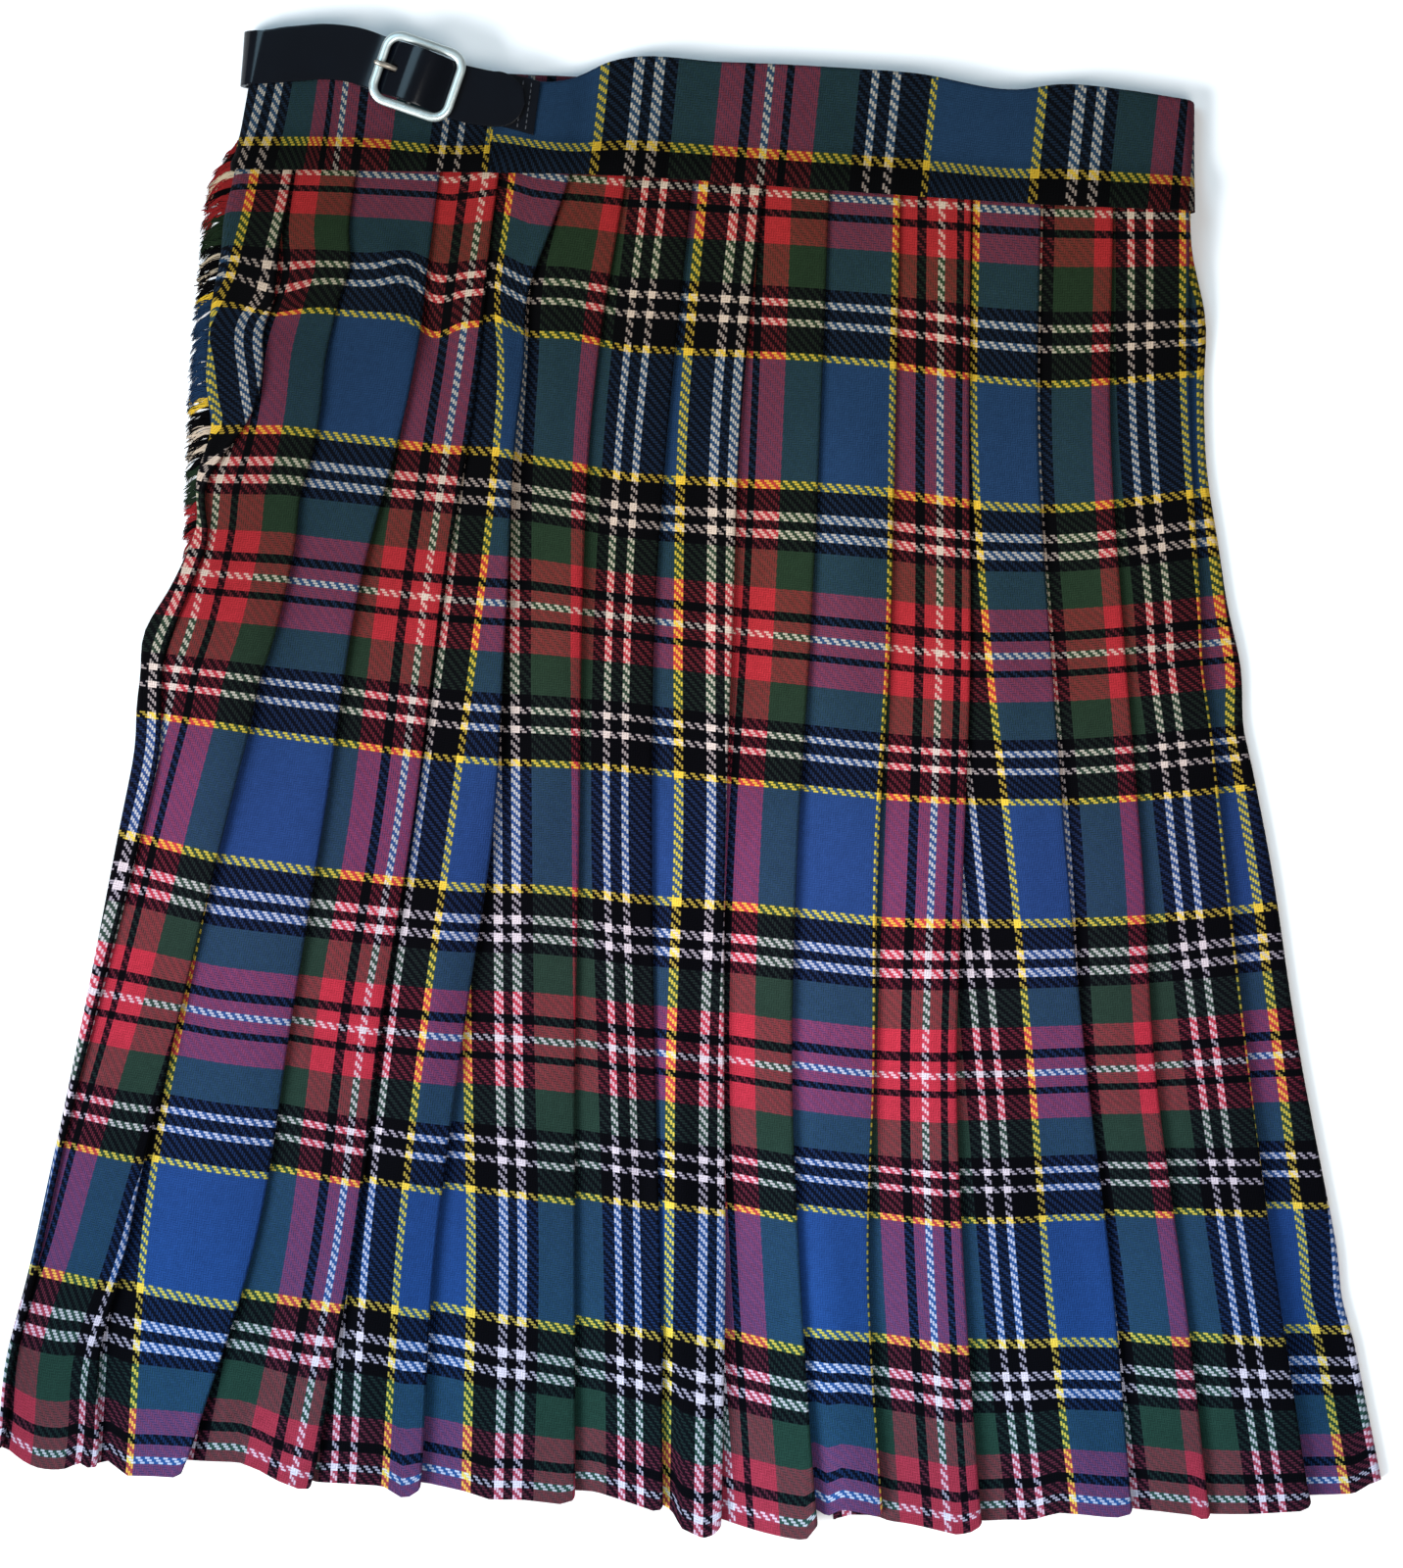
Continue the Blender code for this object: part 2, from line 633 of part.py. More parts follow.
def side_nose(row, side, height, layer):
    """Centre and reach of a side fold of the band."""
    middle, half = between(BAND_SIDES[side], height)
    reach = middle + layer * half
    if side == "right":
        return row.right + BAND_CLEAR - middle - half, reach
    outermost = float(np.interp(height / BAND, column(BAND_LEFT, BAND_LEFT_COLUMNS, "share"),
                                column(BAND_LEFT, BAND_LEFT_COLUMNS, "x")))
    outermost = min(outermost, row.left - BAND_CLEAR - CLOTH / 2) if height <= BAND_NECK else outermost
    return outermost + CLOTH / 2 + middle + half, reach


def band_flat_row(row, part, x):
    """Points across a flat stretch of the band."""
    front = part != "back"
    bottom = row.front_y(x) if front else row.row_y(x)
    tall = band_tall(row, x, front)
    return [(x, bottom + height, band_level(part, x, height, layer))
            for layer, height in band_section(tall)]


def band_side_rows(row, side, front_part):
    """Rows of points round a side fold, from the front up to the back."""
    sign = 1 if side == "right" else -1
    edge = row.right if side == "right" else row.left
    rows = []
    for k in range(TURN_PARTS + 1):
        angle = math.pi * (k / TURN_PARTS - 0.5)
        share = k / TURN_PARTS
        tall = band_tall(row, edge, True) * (1 - share) + band_tall(row, edge, False) * share
        points = []
        for layer, height in band_section(tall):
            centre, reach = side_nose(row, side, height, layer)
            x = centre + sign * reach * math.cos(angle)
            low = band_level(front_part, centre, height, layer)
            high = band_level("back", centre, height, layer)
            bottom = row.front_y(x) * (1 - share) + row.row_y(x) * share
            z = (low + high) / 2 + (high - low) / 2 * math.sin(angle)
            points.append((x, bottom + height, z))
        rows.append(points)
    return rows


def band_end_row(row):
    """The slanted end of the band on the over-apron."""
    points = []
    for layer, height in band_section(BAND):
        x = BAND_END_SEAM + (BAND_END_TOP - BAND_END_SEAM) * height / BAND
        points.append((x, row.front_y(x) + height, band_level("over", x, height, layer)))
    return points


def build_waistband(material):
    row = WoundRow(0.0)
    rows = [band_flat_row(row, "under", row.right - APRON_SHORT)]
    rows += [band_flat_row(row, "under", x) for x in BAND_FRONT_KNOTS]
    rows += band_side_rows(row, "left", "under")
    rows += [band_flat_row(row, "back", x) for x in BAND_BACK_KNOTS]
    rows += band_side_rows(row, "right", "over")[::-1]
    rows += [band_flat_row(row, "over", x) for x in BAND_FRONT_KNOTS]
    rows.append(band_end_row(row))
    wall("waistband", rows, CLOTH, material)


# ---------------------------------------------------------------- the fringe

def fringe_place(travel):
    """Root of the fringe at a travel from the hem up: x, y, mid height and strand length."""
    if travel <= SKIRT:
        row = WoundRow(SKIRT - travel)
        return row.edge - GAP, row.front_y(row.edge), over_height(row), FRINGE_LONG
    row = WoundRow(0.0)
    up = travel - SKIRT
    slant = (BAND_END_TOP - BAND_END_SEAM) / BAND
    x = min(row.edge, BAND_END_SEAM) - GAP + slant * max(up - TAIL, 0.0)
    share = up / FRINGE_UP_BAND
    z = OVER_TAIL + (BAND_PARTS["over"][2] - OVER_TAIL) * share
    return x, row.front_y(x) + up, z, FRINGE_LONG + (FRINGE_BAND_LONG - FRINGE_LONG) * share


def build_fringe(material):
    """A narrow strip with one tapered strand on each cell of its outer side."""
    whole = SKIRT + FRINGE_UP_BAND
    places = [fringe_place(whole * k / FRINGE_STRANDS) for k in range(FRINGE_STRANDS + 1)]
    half = CLOTH / 2
    mesh = bmesh.new()
    corners = []
    for x, y, z, _ in places:
        ring = ((x, z + half), (x, z - half), (x - FRINGE_STRIP, z - half), (x - FRINGE_STRIP, z + half))
        corners.append([mesh.verts.new((a * TO_METRES, y * TO_METRES, b * TO_METRES)) for a, b in ring])
    for k in range(FRINGE_STRANDS):
        below = corners[k]
        above = corners[k + 1]
        for i, j in ((0, 1), (1, 2), (3, 0)):
            mesh.faces.new((below[i], below[j], above[j], above[i]))
        x, y, z, long = places[k]
        reach = long * (1.0 - 0.12 * (k % 3)) if k % 7 else long
        lean = 1.1 * math.sin(1.7 * k) - 0.8
        tip_y = (y + places[k + 1][1]) / 2 + lean
        tip_z = max(FRINGE_TIP_LOW, z - half + 0.1)
        tip = mesh.verts.new(((x - FRINGE_STRIP - reach) * TO_METRES, tip_y * TO_METRES, tip_z * TO_METRES))
        side = (below[2], below[3], above[3], above[2])
        for i in range(4):
            mesh.faces.new((side[i], side[(i + 1) % 4], tip))
    mesh.faces.new(corners[0])
    mesh.faces.new(corners[-1])
    return finish("fringe", mesh, material)


# ---------------------------------------------------------------- the buckle's own axes

def on_buckle(along, across, height):
    """A point from the buckle's own axes: along the strap, across it and up."""
    turn = math.radians(BUCKLE_TURN)
    x = BUCKLE_X + along * math.cos(turn) - across * math.sin(turn)
    y = BUCKLE_Y + along * math.sin(turn) + across * math.cos(turn)
    return (x, y, height)


def strap_height(x, y):
    """Mid height of the strap at a point, read along the buckle's axis."""
    turn = math.radians(BUCKLE_TURN)
    along = (x - BUCKLE_X) * math.cos(turn) + (y - BUCKLE_Y) * math.sin(turn)
    return float(np.interp(along, column(STRAP_ARCH, STRAP_ARCH_COLUMNS, "along"),
                           column(STRAP_ARCH, STRAP_ARCH_COLUMNS, "height")))


def strap_path():
    """Mid line of the strap and the direction across it, from its root to its tip."""
    root_x, root_y = STRAP_ROOT
    turn_x, turn_y = STRAP_TURN
    low = STRAP_THICK / 2
    lean = math.atan2(turn_y - root_y, root_x - turn_x)
    path = []
    for share in (0.0, 0.5):
        path.append((root_x + (turn_x - root_x) * share, root_y + (turn_y - root_y) * share, low, lean))
    middle = (low + STRAP_ON_BAND) / 2
    radius = (STRAP_ON_BAND - low) / 2
    parts = 8
    for k in range(parts + 1):
        angle = math.pi * (k / parts - 0.5)
        path.append((turn_x - STRAP_NOSE * math.cos(angle), turn_y, middle + radius * math.sin(angle),
                     lean * (1 - k / parts)))
    xs = column(STRAP_LINE, STRAP_COLUMNS, "x")
    ys = column(STRAP_LINE, STRAP_COLUMNS, "y")
    count = 30
    for k in range(count + 1):
        x = xs[0] + (xs[-1] - xs[0]) * k / count
        y = float(through(xs, ys, x))
        slope = float(through(xs, ys, x + 1.0)) - float(through(xs, ys, x - 1.0))
        path.append((x, y, strap_height(x, y), math.atan2(slope, 2.0)))
    return path


def strap_half_width(points, index):
    """Half the strap's width: whole, then rounded off at the tip."""
    tip = np.array(points[-1][:2])
    left = float(np.linalg.norm(tip - np.array(points[index][:2])))
    if left >= STRAP_TIP_ROUND:
        return STRAP_WIDE / 2
    share = 1.0 - left / STRAP_TIP_ROUND
    return STRAP_WIDE / 2 * max(math.sqrt(1.0 - share * share), 0.3)


def build_strap(material):
    points = strap_path()
    rows = []
    for index, (x, y, z, lean) in enumerate(points):
        half = strap_half_width(points, index)
        row = []
        for share in (-1.0, 0.0, 1.0):
            across = share * half
            row.append((x - across * math.sin(lean), y + across * math.cos(lean), z))
        rows.append(row)
    strap = wall("strap", rows, STRAP_THICK, material)
    middle, long, wide = STRAP_HOLE
    cut(strap, oval_cutter("hole_cutter", middle, long, wide, 11.0, 21.0))


def oval_cutter(name, middle, long, wide, low, high, parts=16):
    """A hidden upright prism with round ends, for a cut through leather."""
    mesh = bmesh.new()
    rings = []
    for height in (low, high):
        ring = []
        for k in range(parts):
            angle = 2 * math.pi * (k + 0.5) / parts
            reach = (long - wide) / 2 * (1 if math.cos(angle) > 0 else -1)
            along = middle + reach + wide / 2 * math.cos(angle)
            point = on_buckle(along, wide / 2 * math.sin(angle), height)
            ring.append(mesh.verts.new([value * TO_METRES for value in point]))
        rings.append(ring)
    low_ring, high_ring = rings
    for k in range(parts):
        j = (k + 1) % parts
        mesh.faces.new((low_ring[k], low_ring[j], high_ring[j], high_ring[k]))
    mesh.faces.new(low_ring)
    mesh.faces.new(high_ring)
    bmesh.ops.recalc_face_normals(mesh, faces=mesh.faces)
    data = bpy.data.meshes.new(name)
    mesh.to_mesh(data)
    mesh.free()
    cutter = bpy.data.objects.new(name, data)
    bpy.context.scene.collection.objects.link(cutter)
    cutter.hide_render = True
    cutter.display_type = "WIRE"
    return cutter


def cut(target, cutter, operation="DIFFERENCE"):
    """Adds an exact Boolean with a hidden cutter."""
    boolean = target.modifiers.new("cut_" + cutter.name, "BOOLEAN")
    boolean.operation = operation
    boolean.solver = "EXACT"
    boolean.object = cutter


def build_chape(material):
    alongs = column(CHAPE_LINE, CHAPE_COLUMNS, "along")
    heights = column(CHAPE_LINE, CHAPE_COLUMNS, "height")
    rows = []
    for along, height in zip(alongs, heights):
        drift = CHAPE_DRIFT * float(ease((along - 6.0) / 39.0))
        rows.append([on_buckle(along, drift + share * CHAPE_WIDE / 2, height)
                     for share in (-1.0, 0.0, 1.0)])
    chape = wall("chape", rows, CHAPE_THICK, material)
    cut(chape, oval_cutter("slot_cutter", 0.0, 2 * CHAPE_SLOT_LONG, CHAPE_SLOT_WIDE, 10.0, 17.5))


def build_prong(material):
    rows = []
    parts = 11
    for k in range(parts + 1):
        angle = math.radians(170.0 + 280.0 * k / parts)
        rows.append((PRONG_RING * math.cos(angle), BAR_HIGH + PRONG_RING * math.sin(angle)))
    grid = []
    for along, height in rows + list(PRONG_LINE):
        half = PRONG_WIDE / 2
        grid.append([on_buckle(along, across, height) for across in (-half, 0.0, half)])
    wall("buckle_prong", grid, PRONG_THICK, material)


def rounded_ring(half_long, half_wide, corner, parts=5):
    """Points of a rounded rectangle, anticlockwise."""
    points = []
    for quarter in range(4):
        sx = 1 if quarter in (0, 3) else -1
        sy = 1 if quarter in (0, 1) else -1
        for k in range(parts + 1):
            angle = math.pi / 2 * (quarter + k / parts)
            points.append((sx * (half_long - corner) + corner * math.cos(angle),
                           sy * (half_wide - corner) + corner * math.sin(angle)))
    return points


def build_frame(material):
    outer = rounded_ring(FRAME_LONG / 2, FRAME_WIDE / 2, FRAME_CORNER)
    inner = rounded_ring(FRAME_LONG / 2 - FRAME_BAR, FRAME_WIDE / 2 - FRAME_BAR,
                         FRAME_CORNER - FRAME_BAR)
    middle = rounded_ring((FRAME_LONG - FRAME_BAR) / 2, (FRAME_WIDE - FRAME_BAR) / 2,
                          FRAME_CORNER - FRAME_BAR / 2)
    low = FRAME_LOW
    high = FRAME_LOW + FRAME_THICK
    bevel = 0.5
    mesh = bmesh.new()
    loops = []
    for share, height in ((0.0, low + bevel), (0.0, high - bevel), (0.35, high), (1.65, high),
                          (2.0, high - bevel), (2.0, low + bevel), (1.65, low), (0.35, low)):
        loop = []
        for out, mid, inn in zip(outer, middle, inner):
            if share <= 1.0:
                a = out[0] + (mid[0] - out[0]) * share
                b = out[1] + (mid[1] - out[1]) * share
            else:
                a = mid[0] + (inn[0] - mid[0]) * (share - 1.0)
                b = mid[1] + (inn[1] - mid[1]) * (share - 1.0)
            point = on_buckle(a, b, height)
            loop.append(mesh.verts.new([value * TO_METRES for value in point]))
        loops.append(loop)
    count = len(outer)
    for one, two in zip(loops, loops[1:] + loops[:1]):
        for k in range(count):
            j = (k + 1) % count
            mesh.faces.new((one[k], one[j], two[j], two[k]))
    frame = finish("buckle_frame", mesh, material)
    cut(frame, centre_bar(), "UNION")
    return frame


def centre_bar():
    """The round bar between the frame's two long sides, bent up into them at its ends."""
    reach = FRAME_WIDE / 2 - FRAME_BAR / 2
    rise = FRAME_LOW + FRAME_THICK / 2
    line = [(-reach, rise), (-reach + 1.6, BAR_HIGH), (reach - 1.6, BAR_HIGH), (reach, rise)]
    parts = 10
    mesh = bmesh.new()
    rings = []
    for across, height in line:
        ring = []
        for k in range(parts):
            angle = 2 * math.pi * k / parts
            point = on_buckle(BAR_RADIUS * math.cos(angle), across, height + BAR_RADIUS * math.sin(angle))
            ring.append(mesh.verts.new([value * TO_METRES for value in point]))
        rings.append(ring)
    for one, two in zip(rings, rings[1:]):
        for k in range(parts):
            j = (k + 1) % parts
            mesh.faces.new((one[k], one[j], two[j], two[k]))
    mesh.faces.new(rings[0])
    mesh.faces.new(rings[-1])
    bmesh.ops.recalc_face_normals(mesh, faces=mesh.faces)
    data = bpy.data.meshes.new("bar_adder")
    mesh.to_mesh(data)
    mesh.free()
    bar = bpy.data.objects.new("bar_adder", data)
    bpy.context.scene.collection.objects.link(bar)
    bar.hide_render = True
    bar.display_type = "WIRE"
    return bar


# ---------------------------------------------------------------- the kilt

def main():
    for old in list(bpy.data.objects):
        bpy.data.objects.remove(old)
    tartan = plain_material("tartan_wool", (0.10, 0.14, 0.24), 0.9)
    leather = plain_material("black_leather", (0.018, 0.018, 0.02), 0.5)
    metal = plain_material("buckle_metal", (0.75, 0.74, 0.72), 0.25, 1.0)
    build_cloth({"tartan": tartan})
    build_waistband(tartan)
    build_fringe(tartan)
    build_strap(leather)
    build_chape(leather)
    build_frame(metal)
    build_prong(metal)


main()
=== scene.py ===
# %% [markdown]
# A girl's kilt, laid flat on its front.
#
# The kilt is one long length of wool, wound round a flat shape: under-apron, side fold, thirteen
# knife pleats, side fold, over-apron. Cloth like this is best made flat first and folded after,
# because the pattern then follows every fold by itself. The packed model is loaded as a fixed
# frame, and each cell below adds one piece to it.

# %% Tools and the packed model
import math
import random

import bmesh
import bpy
import numpy as np
from mathutils import Matrix, Vector


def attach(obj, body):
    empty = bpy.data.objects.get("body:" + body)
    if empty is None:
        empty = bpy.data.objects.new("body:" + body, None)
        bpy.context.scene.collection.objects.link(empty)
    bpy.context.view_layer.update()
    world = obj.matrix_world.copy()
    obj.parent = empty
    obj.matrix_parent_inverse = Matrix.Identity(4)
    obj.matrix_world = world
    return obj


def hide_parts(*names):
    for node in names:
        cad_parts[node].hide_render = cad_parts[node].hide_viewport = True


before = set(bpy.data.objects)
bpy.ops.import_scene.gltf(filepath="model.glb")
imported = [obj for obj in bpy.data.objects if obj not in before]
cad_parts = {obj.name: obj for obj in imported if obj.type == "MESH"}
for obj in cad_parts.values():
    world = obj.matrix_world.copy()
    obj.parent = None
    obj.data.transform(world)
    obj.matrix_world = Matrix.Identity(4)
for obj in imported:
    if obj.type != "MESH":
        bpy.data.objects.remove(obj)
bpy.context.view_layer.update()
MM = 0.001
print("pieces in the packed model:", ", ".join(sorted(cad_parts)))

# %% [markdown]
# A kilt is cut by the thread, so the sizes come first: how thick the wool is, how wide one thread
# is each way, and how many threads the check takes before it starts again. Everything below counts
# in millimetres and threads.

# %% Sizes of the cloth, in millimetres
CLOTH = 1.0             # thickness of a layer of wool in the packed model
LAYER = 1.3             # from one layer to the next, with a little air
SKIRT = 458.4           # from the waistband's seam to the hem
TAIL = 3.0              # cloth that runs up inside the waistband
THREAD_DOWN = 0.8       # one thread of the weft, down the kilt
THREAD_ACROSS = 0.8225  # one thread of the warp, across it
SETT = 188              # threads before the check starts again
SEAM_WEFT = 92.0
print("threads from the seam to the hem:", round(SKIRT / THREAD_DOWN))

# %% [markdown]
# The folds of the real kilt were pressed and then moved as it was laid down, so no formula gives
# their places. A short table does: one row for each fold, one column for each depth below the
# waistband, and a smooth curve through them. A second table has the few places where a fold leaves
# that curve.

# %% Where the folds lie
STATIONS = (0.0, 76.8, 152.0, 227.2, 302.4, 377.6, SKIRT)
FOLDS = {
    "outline_left": (-161.0, -172.0, -181.5, -198.5, -213.0, -228.0, -244.0),
    "fold_00": (-140.5, -150.5, -174.5, -189.5, -208.0, -225.4, -241.4),
    "fold_01": (-118.0, -129.0, -142.5, -161.5, -179.5, -197.0, -209.0),
    "fold_02": (-88.5, -99.5, -117.5, -129.0, -141.0, -153.5, -179.0),
    "fold_03": (-68.0, -76.5, -88.0, -98.0, -109.5, -119.0, -134.0),
    "fold_04": (-43.0, -60.5, -65.2, -69.8, -80.5, -90.5, -95.5),
    "fold_05": (-23.0, -35.0, -38.5, -39.5, -41.0, -41.0, -41.0),
    "fold_06": (0.5, -8.0, -13.0, -14.0, -13.0, -11.0, -10.0),
    "fold_07": (25.5, 17.5, 14.5, 12.0, 11.5, 12.0, 10.5),
    "fold_08": (48.5, 45.5, 42.0, 37.5, 35.5, 38.5, 44.5),
    "fold_09": (73.5, 72.0, 70.0, 66.0, 64.5, 62.5, 67.5),
    "fold_10": (98.5, 98.0, 98.5, 96.0, 93.5, 96.5, 102.5),
    "fold_11": (123.0, 122.5, 127.0, 132.5, 139.5, 148.5, 155.5),
    "fold_12": (148.5, 148.0, 153.0, 159.0, 163.5, 173.0, 183.0),
    "fold_13": (175.2, 176.3, 181.0, 188.3, 196.5, 206.0, 218.5),
    "outline_right": (177.2, 182.6, 191.0, 202.8, 215.0, 229.5, 244.0),
    "fringed_edge": (-161.5, -167.5, -170.0, -176.5, -183.0, -189.5, -196.5),
}
# Places where a fold line leaves its smooth curve: depth, run and how far across.
BENDS = {
    "outline_left": ((18.0, 12.0, -1.5), (50.0, 16.0, -1.5), (100.0, 14.0, 4.6), (136.0, 14.0, 3.8),
                     (177.0, 15.0, -7.0), (200.0, 14.0, -3.2), (432.0, 24.0, -4.0)),
    "fold_00": ((30.0, 14.0, -1.5), (58.0, 16.0, -3.6), (118.0, 17.0, -7.0), (141.0, 9.0, 1.6),
                (181.0, 16.0, -4.6), (200.0, 14.0, -1.8), (432.0, 24.0, -3.4)),
    "fold_01": ((34.0, 9.0, 2.6), (68.0, 14.0, -1.4), (120.0, 12.0, -1.8), (188.0, 12.0, -1.2),
                (425.0, 22.0, -4.5)),
    "fold_04": ((42.0, 16.0, -2.0),),
    "fold_13": ((160.0, 16.0, -1.0),),
    "outline_right": ((10.0, 16.0, -1.6), (39.0, 16.0, 2.2), (91.0, 22.0, -1.6), (160.0, 16.0, 2.0),
                      (183.0, 10.0, -0.7), (240.0, 40.0, 1.2), (390.0, 12.0, -1.6)),
}
print("depth stations:", len(STATIONS))

# %% [markdown]
# The pattern has to lie right on the folded cloth too. One table says which thread of the warp lies
# on each fold, and another where the weave's rows cross the kilt. Between two folds the threads
# that don't show are the cloth that is hidden in the pleat.

# %% Where the threads lie
# Thread of the tartan on each fold, and on the right outline.
FOLD_THREADS = (
    (44, 48, 46, 46, 46, 46, 46),
    (130, 130, 130, 130, 132, 139, 148.5),
    (204, 204, 204, 204, 206.8, 207.5, 184),
    (288, 291.2, 290, 289.2, 290.1, 290.2, 291),
    (373, 357, 360, 366.5, 365.5, 363.7, 364),
    (458, 457, 455, 453.3, 450.6, 448.7, 451),
    (534.6, 535.0, 534.0, 534, 532.6, 532.3, 532.2),
    (617.8, 616.8, 615.3, 612.2, 614.6, 616, 616),
    (695, 695, 695, 695, 695, 695, 695),
    (781, 781, 780, 780, 779, 779, 779),
    (859, 859, 860, 860, 860, 861, 861),
    (940, 940, 939.5, 936.5, 936.5, 940.3, 937.4),
    (1022, 1022, 1022, 1022, 1022, 1022, 1022),
    (1103.5, 1103, 1100.3, 1100.5, 1100, 1099, 1098.5),
    (1158, 1157, 1160, 1163.5, 1165, 1170.5, 1171),
)
LAST_PANEL = len(FOLD_THREADS) - 1
LAST_FOLD = LAST_PANEL - 1
ROW_PLACES = ("outline_left", "fold_02", "fold_05", "fold_08", "fold_09", "fold_10", "fold_11",
              "outline_right")
ROWS = (
    (215.5, 214.5, 213.0, 208.0, 206.3, 204.6, 203.0, 201.0),
    (145.5, 138.0, 130.5, 126.0, 123.5, 121.5, 119.5, 124.5),
    (76.0, 66.5, 59.5, 50.5, 47.1, 45.1, 45.5, 49.5),
    (3.0, -9.5, -17.5, -23.5, -25.8, -27.5, -27.5, -23.0),
    (-71.0, -83.5, -92.0, -100.0, -102.1, -103.0, -101.5, -95.5),
    (-145.0, -159.0, -169.5, -174.0, -174.1, -177.5, -175.0, -170.5),
    (-234.0, -241.0, -252.0, -262.8, -258.2, -261.8, -259.0, -249.0),
)
# Where a panel's first fold takes cloth in: depth, run and threads.
THREAD_BENDS = {0: ((62.0, 18.0, 5.0), (100.0, 11.0, -9.0))}
# The first panel is puffed up, so it shows more cloth than its width.
PUFFED = (1.0, 1.0, 1.0, 1.0, 1.06, 1.17, 1.15)
print("folds:", LAST_FOLD + 1, "| panels:", LAST_PANEL + 1)

# %% [markdown]
# A pressed hem is straight until the kilt is laid down. Then each pleat slides a little against the
# next, which steps the hem at its fold, and the cloth between the steps waves.

# %% The hem
HEM_STEP = (0.0, 2.0, 5.5, 4.0, 4.0, 4.5, 3.0, 5.0, 8.0, 0.0, 3.0, 3.0, 2.5, 5.0)
SEAM_STEP = {3: 3.6, 4: 0.6}
STEPS_FROM, SEAM_STEPS_TO, WAVES_FROM = 240.0, 110.0, 395.0
# How far the hem drops at each place across.
HEM = ((-242.0, 1.0), (-237.0, 4.2), (-232.0, 6.0), (-227.0, 6.1), (-221.5, 5.2), (-216.0, 2.0),
       (-211.0, 4.4), (-206.0, 1.8), (-199.0, 5.2), (-190.0, 3.0), (-180.0, 1.0), (-160.0, -2.2),
       (-153.0, -1.0), (-146.0, 1.5), (-133.0, 4.0), (-123.0, 2.6), (-109.0, 1.0), (-102.0, 4.2),
       (-96.0, 1.8), (-80.0, 2.6), (-71.0, 4.0), (-60.0, 2.0), (-45.0, 1.0), (-34.0, -1.4),
       (-12.0, -1.5), (-7.0, -1.0), (-3.5, 4.0), (4.0, 4.5), (9.5, 0.8), (40.0, 0.5), (43.5, -2.6),
       (48.0, 0.0), (53.0, -2.4), (63.0, 0.0), (70.0, 2.8), (94.0, 3.4), (100.0, 1.0), (112.0, -0.7),
       (120.0, -0.8), (129.0, -3.6), (137.0, -3.0), (146.0, -1.8), (155.0, -1.2), (165.0, -0.6),
       (177.0, 0.6), (182.0, 3.2), (197.0, 3.0), (215.0, 2.2), (225.0, 2.4), (234.0, 2.0),
       (240.0, -1.6), (244.0, -2.6))
HEM_X, HEM_DROP = zip(*HEM)
print("places along the hem:", len(HEM))

# %% [markdown]
# Folds, rows and swells are all given by a few measured values, so the script needs a curve that
# passes smoothly through them, and a soft step from 0 to 1. A modeller would draw both as curves.
# Here they are two small functions, because every row of the cloth reads them.

# %% Two curves that everything else uses
def through(knots, values, at):
    """A smooth curve through values at knots, read at the places given."""
    knots = np.asarray(knots, dtype=float)
    values = np.asarray(values, dtype=float)
    slopes = np.gradient(values, knots)
    at = np.asarray(at, dtype=float)
    k = np.clip(np.searchsorted(knots, at) - 1, 0, len(knots) - 2)
    span = knots[k + 1] - knots[k]
    t = (at - knots[k]) / span
    inside = np.clip(t, 0.0, 1.0)
    square, cube = inside ** 2, inside ** 3
    curve = ((2 * cube - 3 * square + 1) * values[k] + (cube - 2 * square + inside) * span * slopes[k]
             + (3 * square - 2 * cube) * values[k + 1] + (cube - square) * span * slopes[k + 1])
    return curve + (t - inside) * span * np.where(t < 0.0, slopes[k], slopes[k + 1])


def ease(t):
    """0 below 0, 1 above 1 and a soft S between."""
    t = np.clip(t, 0.0, 1.0)
    return t * t * (3.0 - 2.0 * t)


print("a quarter of the way, the soft step has risen to %.2f" % ease(0.25))

# %% [markdown]
# When a kilt is laid down, the cloth is also pulled up or down inside each panel, so that the
# stripes across it wave. A coarse table says how far, and a few local pushes make the rumples under
# the waistband.

# %% How far the cloth is pulled up, and where it is pushed aside
PULL_X = (-225.0, -200.0, -168.0, -144.0, -123.0, -85.0, -68.0, -55.6, -42.0, -23.0, 18.7, 68.8, 101.6,
          131.0, 163.8, 205.0)
PULL_DEPTH = (0.0, 54.4, 99.2, 204.8, 249.6, 355.2, 400.0, SKIRT)
PULLS = (
    (1.7, 1.7, 1.7, 1.7, 1.4, -0.3, 3.8, 1.4, 0.7, 0.0, 0.0, 0.0, 0.0, 0.0, 0.0, 0.0),
    (3.8, 3.8, 3.8, 4.8, 3.8, 3.1, 5.9, 2.4, 3.1, 0.3, 0.3, 0.3, -2.1, -2.1, -2.1, -2.1),
    (-0.3, -0.3, -0.3, 2.8, 2.8, 3.1, 4.1, 3.1, 2.1, 0.0, 0.3, 1.7, -0.3, -0.3, 0.0, 1.0),
    (-0.3, -0.3, 0.7, 1.0, 1.4, -0.3, -0.3, 0.3, 0.7, 1.0, 0.0, -0.7, -0.7, -1.0, -0.7, 0.3),
    (1.0, 1.0, -1.0, 0.0, 0.3, -0.3, 0.0, 1.0, 1.0, 0.3, 0.7, -0.7, 0.0, 0.0, -0.3, 0.7),
    (-4.8, -4.8, -2.1, 0.0, 0.0, 0.0, 0.0, 0.0, 0.0, 0.0, 0.0, 0.0, 0.3, 1.0, 0.3, -1.0),
    (-2.8, -2.8, -1.4, 0.7, 2.1, 2.4, 1.4, 1.4, 1.0, 1.0, 1.0, 1.0, 1.4, 2.4, 0.7, -1.0),
    (0.0,) * len(PULL_X),
)
